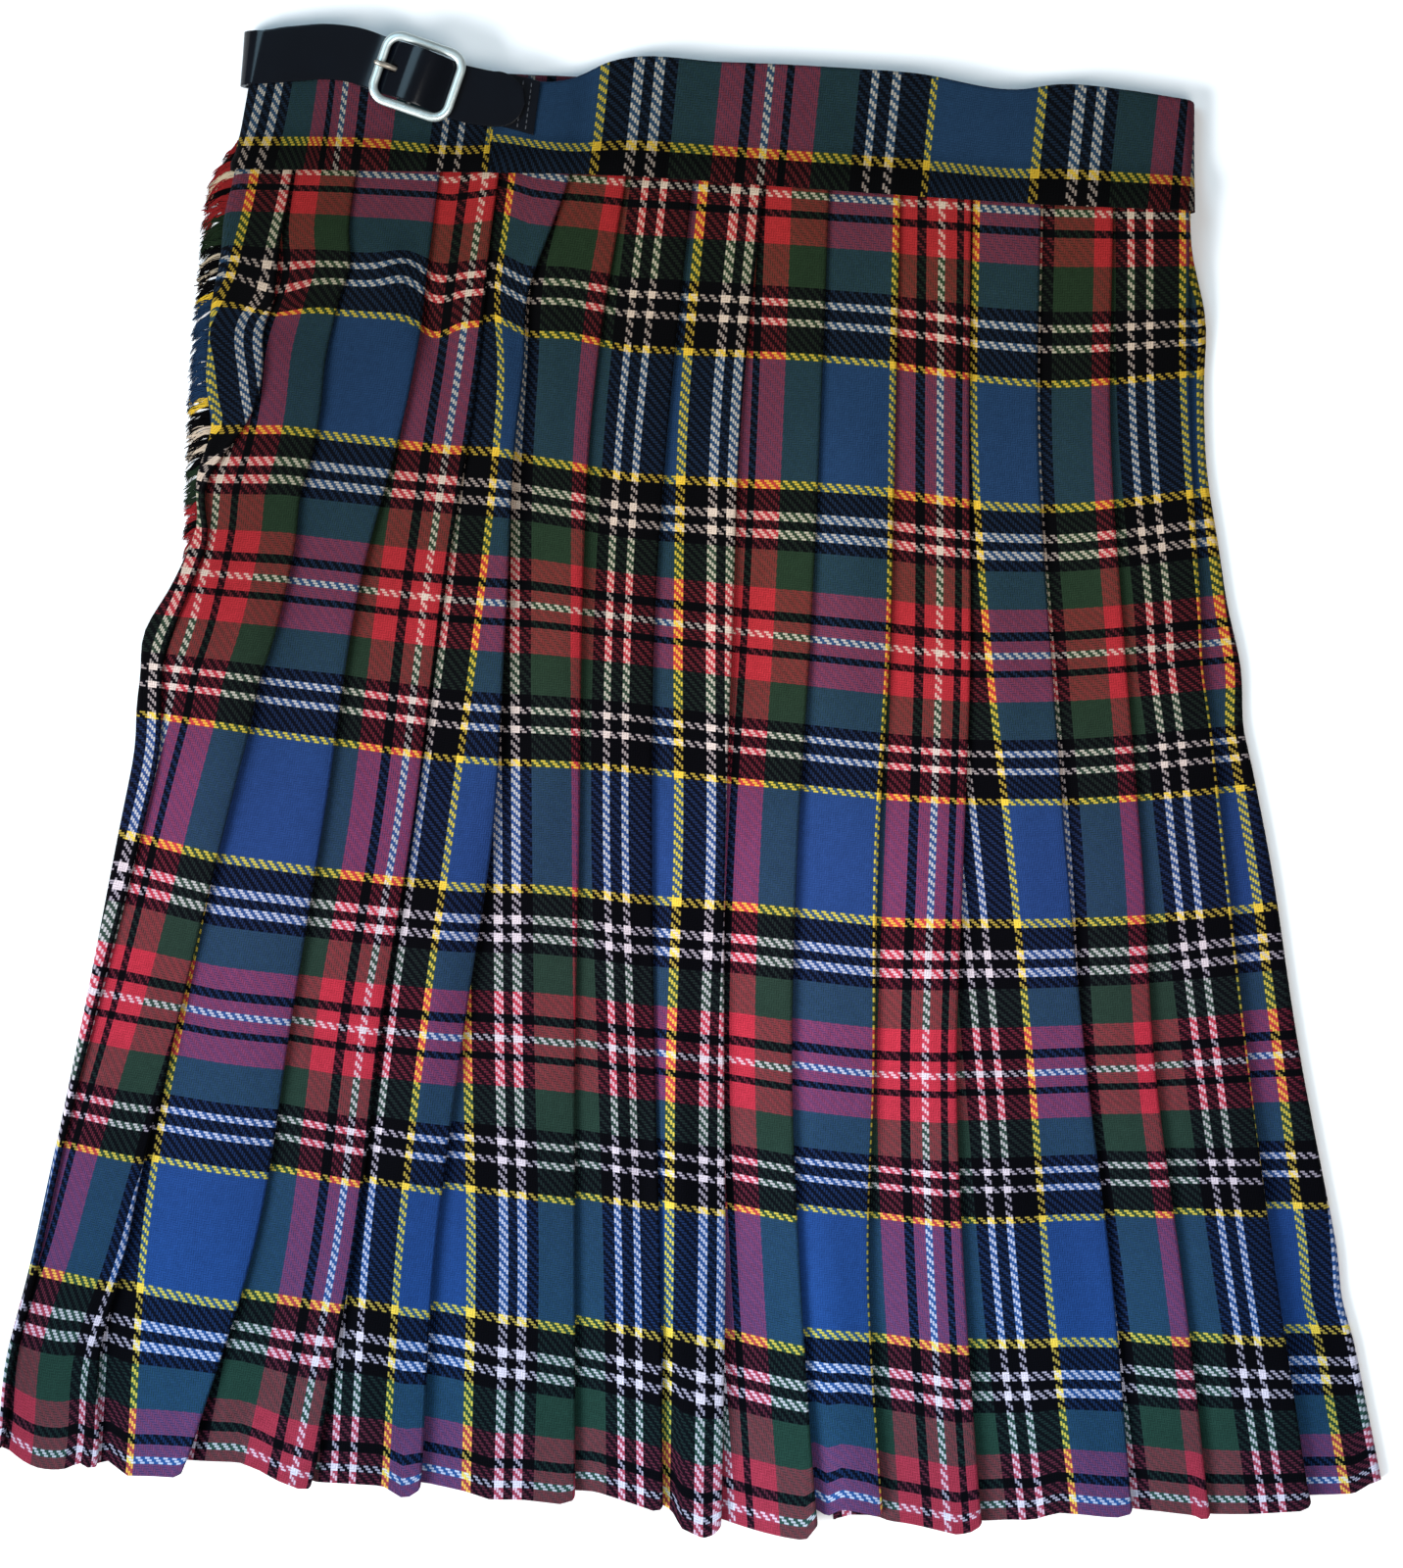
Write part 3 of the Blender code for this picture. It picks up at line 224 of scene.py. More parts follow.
PUSHES = (
    # x, y, half across, half along, moved across, moved along
    (-147.0, 175.5, 11.0, 9.0, 0.0, -5.5),
    (-91.0, 160.0, 6.5, 22.0, 0.0, -4.2),
    (-100.6, 178.0, 8.0, 9.0, 0.0, 3.6),
    (-52.0, 178.0, 16.0, 26.0, -3.2, 0.0),
)


def pull_at(depth, x):
    columns = [float(through(PULL_DEPTH, column, depth)) for column in zip(*PULLS)]
    return np.interp(x, PULL_X, columns)


def pushed(x, y):
    """Where a point of the back ends up after the local pushes."""
    across, along = np.zeros_like(x), np.zeros_like(x)
    for cx, cy, rx, ry, dx, dy in PUSHES:
        near = np.exp(-((x - cx) / rx) ** 2 - ((y - cy) / ry) ** 2)
        across, along = across + dx * near, along + dy * near
    return x + across, y + along


print("local pushes:", len(PUSHES))

# %% [markdown]
# Laid cloth is never flat. It swells where it is gathered, sinks between, and an edge stands up
# here and there. Each swell is a soft round hill with a size, a lean and a height. All the layers
# of the back take the same lift at the same place, so they can't pass through each other.

# %% Swells of the back
SWELLS = (
    # x, y, half across, half along, lean in degrees, height
    (-112.0, 184.0, 26.0, 24.0, 20.0, 3.6),
    (-64.0, 150.0, 17.0, 62.0, 4.0, 2.6),
    (-176.0, 60.0, 16.0, 60.0, 14.0, 3.4),
    (-152.0, -70.0, 18.0, 110.0, 12.0, 3.0),
    (0.0, -170.0, 14.0, 95.0, 0.0, 3.4),
    (92.0, -120.0, 16.0, 90.0, -6.0, 3.0),
    (-120.0, -200.0, 21.0, 70.0, 16.0, 3.0),
    (182.0, -180.0, 18.0, 80.0, -12.0, 3.0),
    (-106.0, 184.0, 12.0, 11.0, 30.0, 2.6),
    (-128.0, 196.0, 10.0, 9.0, 0.0, 1.6),
    (-92.0, 166.0, 8.0, 18.0, -20.0, -3.4),
    (-104.0, 180.0, 7.0, 12.0, -25.0, 2.4),
    (-146.0, 178.0, 12.0, 10.0, 10.0, 2.2),
    (-150.0, 166.0, 14.0, 5.0, 12.0, -1.8),
    (-163.0, 20.0, 9.0, 60.0, 14.0, 2.4),
    (-138.0, 40.0, 8.0, 60.0, 12.0, -1.8),
    (-58.0, 150.0, 6.0, 60.0, 3.0, -2.6),
    (-44.0, 60.0, 9.0, 70.0, 8.0, 2.2),
    (-66.0, -20.0, 8.0, 60.0, 10.0, -1.8),
    (-92.0, -90.0, 9.0, 70.0, 12.0, 2.4),
    (12.0, 40.0, 9.0, 90.0, 2.0, 2.0),
    (-5.0, -120.0, 5.5, 90.0, 0.0, 2.8),
    (-17.0, -130.0, 4.5, 80.0, 0.0, -2.2),
    (56.0, 60.0, 10.0, 60.0, 4.0, 1.8),
    (48.0, -190.0, 10.0, 50.0, -4.0, 2.6),
    (110.0, 20.0, 9.0, 80.0, -6.0, 2.0),
    (128.0, -200.0, 10.0, 50.0, -12.0, 2.6),
    (150.0, 90.0, 12.0, 60.0, -6.0, 2.0),
    (-215.0, -205.0, 14.0, 40.0, 14.0, 3.0),
    (-166.0, -214.0, 9.0, 34.0, 14.0, 2.4),
    (-190.0, -150.0, 8.0, 50.0, 14.0, -1.8),
    (214.0, -212.0, 12.0, 36.0, -12.0, 2.6),
)
WAVES = ((0.10, 0.021, 0.4, 0.16), (-0.07, 0.033, 1.9, 0.14), (0.045, -0.047, 3.1, 0.16),
         (0.16, 0.055, 5.2, 0.08), (-0.19, 0.028, 0.9, 0.06))


def lift_at(x, y):
    """Lift of the back at places given as arrays."""
    lift = np.zeros_like(x)
    for cx, cy, across, along, lean, height in SWELLS:
        turn = math.radians(lean)
        dx, dy = x - cx, y - cy
        u = (dx * math.cos(turn) - dy * math.sin(turn)) / across
        v = (dx * math.sin(turn) + dy * math.cos(turn)) / along
        lift = lift + height * np.exp(-(u * u + v * v))
    for across, along, phase, height in WAVES:
        lift = lift + height * np.sin(across * x + along * y + phase)
    return lift


print("swells:", len(SWELLS))

# %% [markdown]
# A pressed edge lets go where it isn't held. Near the waistband the folds lie flat, and towards the
# hem they stand up by a millimetre or two. The fifth fold has sprung open near the top as well.

# %% Edges that stand up
# How far the edge of each fold stands up, at the stations.
EDGE_STAND = (
    (0.5, 1.5, 1.0, 0.5, 0.0, 0.0, 0.0),
    (0.0, 0.6, 0.8, 0.6, 0.4, 0.6, 1.0),
    (0.0, 1.2, 1.0, 0.8, 0.6, 0.8, 1.5),
    (0.0, 0.8, 1.0, 0.8, 0.8, 1.0, 2.0),
    (0.4, 2.6, 2.6, 1.2, 0.8, 1.0, 2.2),
    (0.0, 0.4, 0.8, 0.8, 0.6, 1.0, 1.8),
    (0.0, 0.4, 0.6, 0.8, 0.8, 1.6, 2.4),
    (0.0, 0.4, 0.6, 0.6, 0.8, 1.4, 1.6),
    (0.0, 0.3, 0.6, 0.6, 0.6, 1.4, 2.6),
    (0.0, 0.3, 0.4, 0.5, 0.6, 0.8, 1.2),
    (0.0, 0.3, 0.4, 0.6, 0.8, 1.2, 1.8),
    (0.0, 0.3, 0.5, 0.8, 0.8, 1.0, 1.6),
    (0.0, 0.4, 0.6, 0.6, 0.8, 1.2, 1.8),
    (0.0, 0.5, 0.6, 0.6, 0.6, 1.0, 1.8),
)
print("the highest edge stands up by", max(map(max, EDGE_STAND)), "mm")

# %% [markdown]
# Between two folds that show, the cloth runs back and forth under its neighbour. The depth of such
# an underlap is half of the cloth that doesn't show. The more layers lie below a panel's fold, the
# higher it has to ride to pass over them.

# %% How deep and how high the pleats lie
OVER_FLOOR, UNDER_FLOOR, BACK_FLOOR = 0.5, 1.8, 3.1
OVER_TAIL, UNDER_TAIL, BACK_TAIL = 1.8, 5.7, 9.6
PLEAT_RISE = 2.9
PLEAT_RISE_AT_SEAM = 2.0
RISE_FROM, RISE_OVER = 90.0, 200.0
SIDE_RISE, SIDE_SOFT = 1.2, 14.0
SETTLED = 60.0
FOLD_NOSE = 0.65
FOLD_EDGE = FOLD_NOSE + CLOTH / 2
UNDERLAP_SHARE, UNDERLAP_LEAST = 0.8, 0.8
UNDERLAP_FIRST, UNDERLAP_LAST = 7.0, 12.0
UNDERLAP_AT_SEAM, UNDERLAP_RUN = 3.0, 40.0
UNDERLAP_ROOM = 1.2


def underlaps(row):
    """How far back each hidden fold lies from the fold that shows."""
    shown = np.diff(row.folds, prepend=row.left)
    cloth = np.diff(np.array(row.threads[:LAST_PANEL])) * THREAD_DOWN
    full = np.append((cloth - shown[1:]) / 2, UNDERLAP_LAST)
    full = np.minimum(full, UNDERLAP_SHARE * shown)
    full[0] = min(full[0], UNDERLAP_FIRST)
    room = row.folds - row.left - 2 * FOLD_EDGE - UNDERLAP_ROOM
    full = np.clip(full, UNDERLAP_LEAST, np.maximum(room, UNDERLAP_LEAST))
    at_seam = np.minimum(full, UNDERLAP_AT_SEAM)
    return at_seam + (full - at_seam) * float(ease(row.depth / UNDERLAP_RUN))


def panel_heights(row):
    """Height of each panel at its fold, found from the right, where the lowest one lies."""
    height = np.zeros(LAST_PANEL + 1)
    height[LAST_PANEL] = SIDE_RISE
    ends = np.append(row.folds, row.right)
    for i in range(LAST_FOLD, -1, -1):
        under = row.under[i]
        over_next = row.rise + height[i + 1] * under / (ends[i + 1] - ends[i] + under)
        if i:
            whole = ends[i] - ends[i - 1] + row.under[i - 1]
            over_next = max(over_next, row.rise * whole / (whole - under))
        height[i] = over_next
    return height


print("a pleat is %.1f mm high at its fold, and %.1f at the seam" % (PLEAT_RISE, PLEAT_RISE_AT_SEAM))

# %% [markdown]
# A row is the whole winding at one depth: where each fold turns, which thread lies on it, how deep
# the underlaps are and how high the panels ride. Everything else asks the row.

# %% One row of the winding
class Row:
    """The winding at one depth below the waistband."""

    def __init__(self, depth):
        self.depth = depth
        below = max(depth, 0.0)
        place = {name: float(through(STATIONS, line, depth)) for name, line in FOLDS.items()}
        for name, bends in BENDS.items():
            for at, run, across in bends:
                place[name] += across * math.exp(-((depth - at) / run) ** 2)
        self.left = place["outline_left"] + CLOTH / 2
        self.right = place["outline_right"] - CLOTH / 2
        self.edge = place["fringed_edge"]
        self.folds = np.array([place["fold_%02d" % k] for k in range(LAST_PANEL)]) - FOLD_EDGE
        self.threads = [float(through(STATIONS, line, below)) for line in FOLD_THREADS]
        for fold, bends in THREAD_BENDS.items():
            for at, run, threads in bends:
                self.threads[fold] += threads * math.exp(-((depth - at) / run) ** 2)
        self.pitch = [THREAD_ACROSS] * (LAST_PANEL + 1)
        self.pitch[1] = THREAD_ACROSS / float(through(STATIONS, PUFFED, below))
        self.row_x = [place[name] for name in ROW_PLACES]
        self.row_y = [float(through(STATIONS, column, below)) + max(-depth, 0.0) for column in zip(*ROWS)]
        self.settle = float(1.0 - ease(depth / SETTLED))
        self.weft = SEAM_WEFT + depth / THREAD_DOWN
        risen = float(ease((depth - RISE_FROM) / RISE_OVER))
        self.rise = PLEAT_RISE_AT_SEAM + (PLEAT_RISE - PLEAT_RISE_AT_SEAM) * risen
        self.under = underlaps(self)
        self.height = panel_heights(self)
        self.stand = [float(through(STATIONS, line, below)) for line in EDGE_STAND]

    def back_y(self, x):
        """Place along the kilt of this row of the weave, on the back."""
        waving = float(ease((self.depth - WAVES_FROM) / (SKIRT - WAVES_FROM)))
        return through(self.row_x, self.row_y, x) - waving * np.interp(x, HEM_X, HEM_DROP)

    def front_y(self, x):
        """The same on the aprons, which hang straight from side to side."""
        ends = self.back_y(np.array([self.left, self.right]))
        return ends[0] + (ends[1] - ends[0]) * (x - self.left) / (self.right - self.left)

    def step(self, fold):
        """How far a panel has slid against the next one."""
        by_the_seam = SEAM_STEP.get(fold, 0.0) * float(1.0 - ease(self.depth / SEAM_STEPS_TO))
        return HEM_STEP[fold] * float(ease((self.depth - STEPS_FROM) / (SKIRT - STEPS_FROM))) + by_the_seam

    def panel_height(self, panel, x):
        """Height of a panel over the lowest layer of the back."""
        if panel == 0:
            share = np.clip((x - self.left) / (self.folds[0] - self.left), 0.0, 1.0)
            return self.rise + (self.height[0] - self.rise) * share + self.stand[0] * share ** 3
        start = self.folds[panel - 1] - self.under[panel - 1]
        end = self.folds[panel] if panel < LAST_PANEL else self.right
        share = np.clip((x - start) / (end - start), 0.0, 1.0)
        stand = self.stand[panel] if panel < LAST_PANEL else 0.0
        return self.height[panel] * share + stand * share ** 3

    def back_z(self, x, y, height):
        """Height of the back over the floor, swells and all."""
        base = BACK_FLOOR + (BACK_TAIL - BACK_FLOOR) * self.settle
        side = ease((x - self.left) / SIDE_SOFT) * ease((self.right - x) / SIDE_SOFT)
        return base + height + lift_at(x, y) * side * float(ease(self.depth / SETTLED))


print("halfway down, the widest underlap is %.1f mm" % Row(SKIRT / 2).under.max())

# %% [markdown]
# A stretch of the row is written as four lists: x, height, thread of the warp and step along the
# cloth. A visible panel is softly crowned and a fold is half a circle. At the hem the corner of each
# fold is worn round, so the hem rises a little there.

# %% Panels and folds
HEM_ROUND = 3.2
FOLD_THREAD = 1.2


def corner_lift(row, away):
    """How far the hem rises at a distance from a fold, because its corner is worn round."""
    near = np.clip(1.0 - away / HEM_ROUND, 0.0, 1.0)
    low = float(ease((row.depth - SKIRT + 3 * HEM_ROUND) / (3 * HEM_ROUND)))
    return low * HEM_ROUND * (1.0 - np.sqrt(1.0 - near ** 2))


def panel_stretch(row, panel, shares, crown):
    """A visible panel, from the fold before it to its own."""
    start = row.folds[panel - 1] if panel else row.left
    end = row.folds[panel]
    x = start + (end - start) * shares
    before = row.step(panel - 1) / 2 if panel else 0.0
    after = -row.step(panel) / 2
    height = row.panel_height(panel, x) + crown * np.sin(math.pi * shares)
    thread = row.threads[panel] - (end + FOLD_EDGE - x) / row.pitch[panel]
    along = before + (after - before) * shares + corner_lift(row, end + FOLD_NOSE - x)
    return [x, height, thread, along]


def fold_stretch(row, fold, parts=6):
    """Round an outer fold, from its panel to the return under it."""
    x = row.folds[fold]
    top = float(row.panel_height(fold, x))
    low = (top + float(row.panel_height(fold + 1, x))) / 2
    low = max(low, top - 2 * FOLD_NOSE - 0.2 * CLOTH)
    angle = np.linspace(math.pi / 2, -math.pi / 2, parts + 1)
    xs = x + FOLD_NOSE * np.cos(angle)
    height = (top + low) / 2 + (top - low) / 2 * np.sin(angle)
    thread = row.threads[fold] + np.linspace(-FOLD_THREAD, FOLD_THREAD, parts + 1)
    return [xs, height, thread, corner_lift(row, x + FOLD_NOSE - xs) - row.step(fold) / 2]


print("the hem's corners are rounded by", HEM_ROUND, "mm")

# %% [markdown]
# Between two panels the cloth runs back under the first one, turns in a hidden fold and comes out
# again as the next panel. At each side of the kilt it turns down and under, into an apron.

# %% Hidden folds and side folds
RETURN_GAP = 1.5
SIDE_NOSE = 4.0


def hidden_stretch(row, fold, parts=3, nose=5):
    """The return and the hidden fold under a pleat, up to the start of the next panel."""
    start_x, step = row.folds[fold], row.step(fold)
    inner = start_x - row.under[fold]
    share = np.linspace(0.0, 1.0, parts + 1)[1:]
    back = start_x + (inner - start_x) * share
    over, below = row.panel_height(fold, back), row.panel_height(fold + 1, back)
    first = [back, np.minimum((over + below) / 2, below + RETURN_GAP), share * 0.5,
             -step / 2 + step * share + corner_lift(row, start_x + FOLD_NOSE - back)]
    top = float(first[1][-1])
    angle = np.linspace(math.pi / 2, -math.pi / 2, nose + 1)[1:]
    turned = [inner - FOLD_NOSE * np.cos(angle), top / 2 + top / 2 * np.sin(angle),
              np.full(nose, 0.5), np.full(nose, step / 2)]
    share = np.array([0.3, 0.65])
    under = inner + (start_x - inner) * share
    last = [under, row.panel_height(fold + 1, under), 0.5 + 0.5 * share, np.full(2, step / 2)]
    x, height, share, along = (np.concatenate(columns) for columns in zip(first, turned, last))
    end = row.folds[fold + 1] + FOLD_EDGE if fold < LAST_FOLD else row.right
    begin = row.threads[fold] + FOLD_THREAD
    finish = row.threads[fold + 1] - (end - start_x) / row.pitch[fold + 1]
    return [x, height, begin + (finish - begin) * share, along]


def side_turn(row, sign, top, bottom, outermost, parts=10):
    """A side fold, as x and z, from the back's height down to an apron's."""
    radius = (top - bottom) / 2
    room = 0.6 * (row.right - row.folds[-1]) if sign > 0 else 0.5 * (row.folds[0] - row.left)
    nose = min(radius, SIDE_NOSE, room)
    angle = np.linspace(math.pi / 2, -math.pi / 2, parts + 1)
    x = outermost - sign * nose + sign * nose * np.cos(angle)
    z = (top + bottom) / 2 + radius * np.sin(angle)
    return x, z, nose


print("a side fold is at most", 2 * SIDE_NOSE, "mm across")

# %% [markdown]
# The kilt is one long piece of cloth that goes round twice in front and once, in pleats, behind. A
# maker would lay it out in one strip. Here it is three pieces, the pleated back and the two aprons,
# because each takes the place of a solid of its own. Every piece is a list of rows, and a row says
# where its points lie and which threads of the tartan they carry.

# %% The pleated back, row by row
VISIBLE = np.linspace(0.0, 1.0, 14)[:-1]
PULL_SOFT = 12.0
DEPTHS = np.concatenate([[-TAIL, 0.0], np.linspace(2.5, SKIRT, 96)])


def lay_back(row, stretch):
    """Turns a stretch of the back into points and pattern places."""
    x, height, thread, along = stretch
    y = row.back_y(x) + along
    weft = row.weft + pull_at(max(row.depth, 0.0), x) / THREAD_DOWN
    z = row.back_z(x, y, height)
    soft = ease((x - row.left) / PULL_SOFT) * ease((row.right - x) / PULL_SOFT)
    share = float(ease(row.depth / PULL_SOFT)) * soft
    new_x, new_y = pushed(x, y)
    x, y = x + (new_x - x) * share, y + (new_y - y) * share
    return np.stack([x, y, z], 1), np.stack([thread, weft], 1)


def back_level(row, x, height):
    """Height of the back over the floor at one place."""
    return float(row.back_z(np.array([x]), row.back_y(np.array([x])), height)[0])


def crown_of(row):
    """How far the middle of a panel stands over its sides: more and more towards the hem."""
    return 0.25 + 1.3 * float(ease(row.depth / SKIRT))


def pleated_back_row(row):
    parts = [[column[-1:] for column in hidden_stretch(row, 0)]]
    for fold in range(LAST_FOLD):
        if fold:
            parts.append(hidden_stretch(row, fold))
        parts.append(panel_stretch(row, fold + 1, VISIBLE, crown_of(row)))
        parts.append(fold_stretch(row, fold + 1))
    parts.append([column[:-1] for column in hidden_stretch(row, LAST_FOLD)])
    return lay_back(row, [np.concatenate(columns) for columns in zip(*parts)])


print("rows of every cloth piece:", len(DEPTHS))

# %% [markdown]
# Each apron is flat cloth on the table, a side fold, and a strip of the back that ends inside a
# pleat. The under-apron lies on the over-apron, and sinks a little to the table where it reaches
# past the fringe.

# %% The under-apron, row by row
FLAT_POINTS = 46
FREE_EDGE = 20.0
FRINGE_TIPS = 13.4


def under_apron_row(row):
    level = UNDER_FLOOR + (UNDER_TAIL - UNDER_FLOOR) * row.settle
    tips = row.edge - FRINGE_TIPS
    sunk = LAYER * float(ease((tips - 14.0 - row.left) / 8.0)) * (1.0 - row.settle)
    turn_x, turn_z, nose = side_turn(row, -1, back_level(row, row.left, row.rise), level - sunk, row.left)
    sag = max(tips, turn_x[-1] + 11.0)
    x = np.concatenate([np.linspace(row.right - FREE_EDGE, sag, FLAT_POINTS),
                        [sag - 3.0, sag - 6.0, sag - 8.0]])
    z = np.concatenate([np.full(FLAT_POINTS, level), level - sunk * ease(np.array([0.35, 0.8, 1.0]))])
    start = (turn_x[0] - row.left) / (row.folds[0] - row.left)
    edge_thread = row.threads[0] - (row.folds[0] + FOLD_EDGE - row.left) / THREAD_ACROSS
    bend = np.linspace(-1.0, 1.0, len(turn_x))
    first = np.stack([np.concatenate([x, turn_x[::-1]]),
                      np.concatenate([row.front_y(x), row.back_y(turn_x)[::-1]]),
                      np.concatenate([z, turn_z[::-1]])], 1)
    thread = np.concatenate([edge_thread - (x - row.left) / THREAD_ACROSS,
                             edge_thread + bend * nose / THREAD_ACROSS])
    pulled = pull_at(max(row.depth, 0.0), row.left) / THREAD_DOWN
    weft = row.weft + np.concatenate([np.zeros(len(x)), np.linspace(0.0, pulled, len(turn_x))])
    shares = start + (1 - start) * np.array([0.1, 0.2, 0.35, 0.5, 0.65, 0.8, 0.9])
    crown = 0.3 * crown_of(row) * float(ease((row.folds[0] - row.left) / 20.0))
    rest = zip(panel_stretch(row, 0, shares, crown), fold_stretch(row, 0),
               [column[:-1] for column in hidden_stretch(row, 0)])
    points, pattern = lay_back(row, [np.concatenate(columns) for columns in rest])
    return np.concatenate([first, points]), np.concatenate([np.stack([thread, weft], 1), pattern])


print("the under-apron's free edge lies", FREE_EDGE, "mm inside the kilt's right side")

# %% [markdown]
# The over-apron goes the other way round, from the last pleat over the right side and back along the
# table to its fringed edge. There it hangs a few threads higher than the back does.

# %% The over-apron, row by row
APRON_POINTS = 49


def apron_shift(depth):
    """Threads by which the over-apron hangs higher at its fringed edge."""
    return 2.0 + 12.0 * float(ease(depth / 70.0))


def over_level(depth):
    """Height of the over-apron over the floor: it climbs to the waistband at its top."""
    return OVER_FLOOR + (OVER_TAIL - OVER_FLOOR) * float(1.0 - ease(depth / 15.0))


def over_apron_row(row):
    level = over_level(row.depth)
    turn_x, turn_z, nose = side_turn(row, 1, back_level(row, row.right, SIDE_RISE), level, row.right)
    begin = row.folds[LAST_FOLD] - row.under[LAST_FOLD] / 2 + 0.9
    x = begin + (turn_x[0] - begin) * VISIBLE
    thread = row.threads[LAST_PANEL] - (row.right - x) / THREAD_ACROSS
    fade = ease((row.right - x) / max(row.right - row.folds[LAST_FOLD], 1.0))
    points, pattern = lay_back(row, [x, row.panel_height(LAST_PANEL, x), thread,
                                     row.step(LAST_FOLD) / 2 * fade])
    flat_x = np.linspace(turn_x[-1], row.edge, APRON_POINTS + 1)[1:]
    bend = np.linspace(-1.0, 1.0, len(turn_x))
    turned = np.stack([turn_x, row.back_y(turn_x), turn_z], 1)
    flat = np.stack([flat_x, row.front_y(flat_x), np.full(len(flat_x), level)], 1)
    run = (row.right - flat_x) / THREAD_ACROSS
    warp = row.threads[LAST_PANEL] + np.concatenate([bend * nose / THREAD_ACROSS, run])
    pulled = pull_at(max(row.depth, 0.0), row.right) / THREAD_DOWN
    slid = np.concatenate([np.zeros(len(turn_x)), run / run[-1]]) * apron_shift(row.depth)
    slid[:len(turn_x)] += np.linspace(pulled, 0.0, len(turn_x))
    return (np.concatenate([points, turned, flat]),
            np.concatenate([pattern, np.stack([warp, row.weft + slid], 1)]))


print("the over-apron's edge is pulled up by", apron_shift(SKIRT), "threads")

# %% [markdown]
# Flat cloth first, folds after: Blender's grid operator gives a rectangle of squares, its UV map
# holds the place of each thread, and then every vertex is moved to where its own bit of cloth lies.
# A Solidify modifier gives the wool its thickness.

# %% From a flat grid to folded cloth
WOOL_THICK = 0.85


def as_object(name, mesh):
    """Turns a finished bmesh into an object of the scene."""
    data = bpy.data.meshes.new(name)
    mesh.to_mesh(data)
    mesh.free()
    made = bpy.data.objects.new(name, data)
    bpy.context.scene.collection.objects.link(made)
    return made


def give_wall(piece, name, thick):
    """A sheet's thickness, half of it on each side."""
    wall = piece.modifiers.new(name, "SOLIDIFY")
    wall.thickness = thick * MM
    wall.offset = 0.0


def folded_cloth(name, points, pattern):
    """points and pattern are rows by columns; the grid is created flat and then moved."""
    down, across = points.shape[:2]
    mesh = bmesh.new()
    threads = mesh.loops.layers.uv.new("threads")
    bmesh.ops.create_grid(mesh, x_segments=across - 1, y_segments=down - 1, size=0.5)
    for vertex in mesh.verts:
        i = round((vertex.co.x + 0.5) * (across - 1))
        j = round((0.5 - vertex.co.y) * (down - 1))
        vertex.index = j * across + i
    flat_pattern = (pattern / SETT).reshape(-1, 2)
    for face in mesh.faces:
        face.smooth = True
        for loop in face.loops:
            loop[threads].uv = flat_pattern[loop.vert.index]
    flat_points = (points * MM).reshape(-1, 3)
    for vertex in mesh.verts:
        vertex.co = flat_points[vertex.index]
    for edge in mesh.edges:
        edge.smooth = not edge.is_boundary
    cloth = as_object(name, mesh)
    give_wall(cloth, "wool_thickness", WOOL_THICK)
    return cloth


def lay_cloth(name, row_maker):
    points, pattern = (np.stack(part) for part in zip(*[row_maker(Row(depth)) for depth in DEPTHS]))
    print(name, "has", points.shape[0], "rows of", points.shape[1], "points")
    return folded_cloth(name, points, pattern)


over_apron = lay_cloth("over_apron_cloth", over_apron_row)
under_apron = lay_cloth("under_apron_cloth", under_apron_row)
pleated_back = lay_cloth("pleated_back_cloth", pleated_back_row)

# %% [markdown]
# The waistband is a straight strip of the same cloth, doubled over at its top edge. It goes round
# the whole winding, so one row of points runs up its outer layer, over the top and down its inner
# layer, and that row travels: under-apron, left side, back, right side, over-apron.

# %% The waistband's lines
BAND = 38.5
BAND_HALF = 0.8
BAND_NECK, BAND_FLAT, BAND_LIFTED, BAND_LIFT = 4.2, 14.0, 25.5, 2.1
BAND_PARTS = {"over": (1.8, 1.3, 1.3, 0.8), "under": (5.7, 1.3, 4.2, 0.8), "back": (11.3, 3.0, 9.2, 0.8)}
BAND_SIDES = {"left": (2.9, 2.1, 2.2, 1.5), "right": (3.1, 1.7, 3.1, 1.2)}
BAND_CLEAR = 1.55
BAND_TOP = ((-166.0, 253.0), (-150.0, 253.6), (-112.0, 253.5), (-78.0, 250.0), (-41.0, 248.0),
            (-30.0, 253.0), (12.0, 253.3), (50.0, 251.5), (78.0, 249.5), (117.0, 243.8),
            (128.0, 245.4), (157.0, 243.0), (172.0, 241.2), (178.0, 239.8))
BAND_LEFT = ((0.11, -161.6), (0.36, -159.4), (0.66, -157.2), (1.00, -155.0))
BAND_END_SEAM, BAND_END_TOP = -161.2, -151.0
STRAP_ROOT_X = -137.0
BAND_STEP = -71.2
BAND_CORNERS = (-163.0, 178.0)
# Threads of the warp along the back, as place and thread; the front counts on from both ends.
BAND_STRIPES = ((-163.0, 36.0), (-157.0, 42.0), (-139.3, 65.0), (-123.7, 94.0), (-109.9, 109.0),
                (-98.2, 123.0), (-84.0, 142.0), (-71.2, 160.0), (-52.2, 188.0), (-32.5, 216.0),
                (-16.6, 234.0), (0.7, 253.0), (12.8, 267.0), (25.6, 282.0), (38.7, 297.0),
                (49.8, 311.0), (66.0, 330.0), (83.3, 348.0), (102.3, 376.0), (121.7, 404.0),
                (139.0, 422.0), (155.2, 441.0), (166.2, 455.0), (178.0, 470.0))


def between(values, height):
    """One pair of values by the seam and another in the band's flat stretch."""
    share = np.clip((height - BAND_NECK) / (BAND_FLAT - BAND_NECK), 0.0, 1.0)
    return values[0] + (values[2] - values[0]) * share, values[1] + (values[3] - values[1]) * share


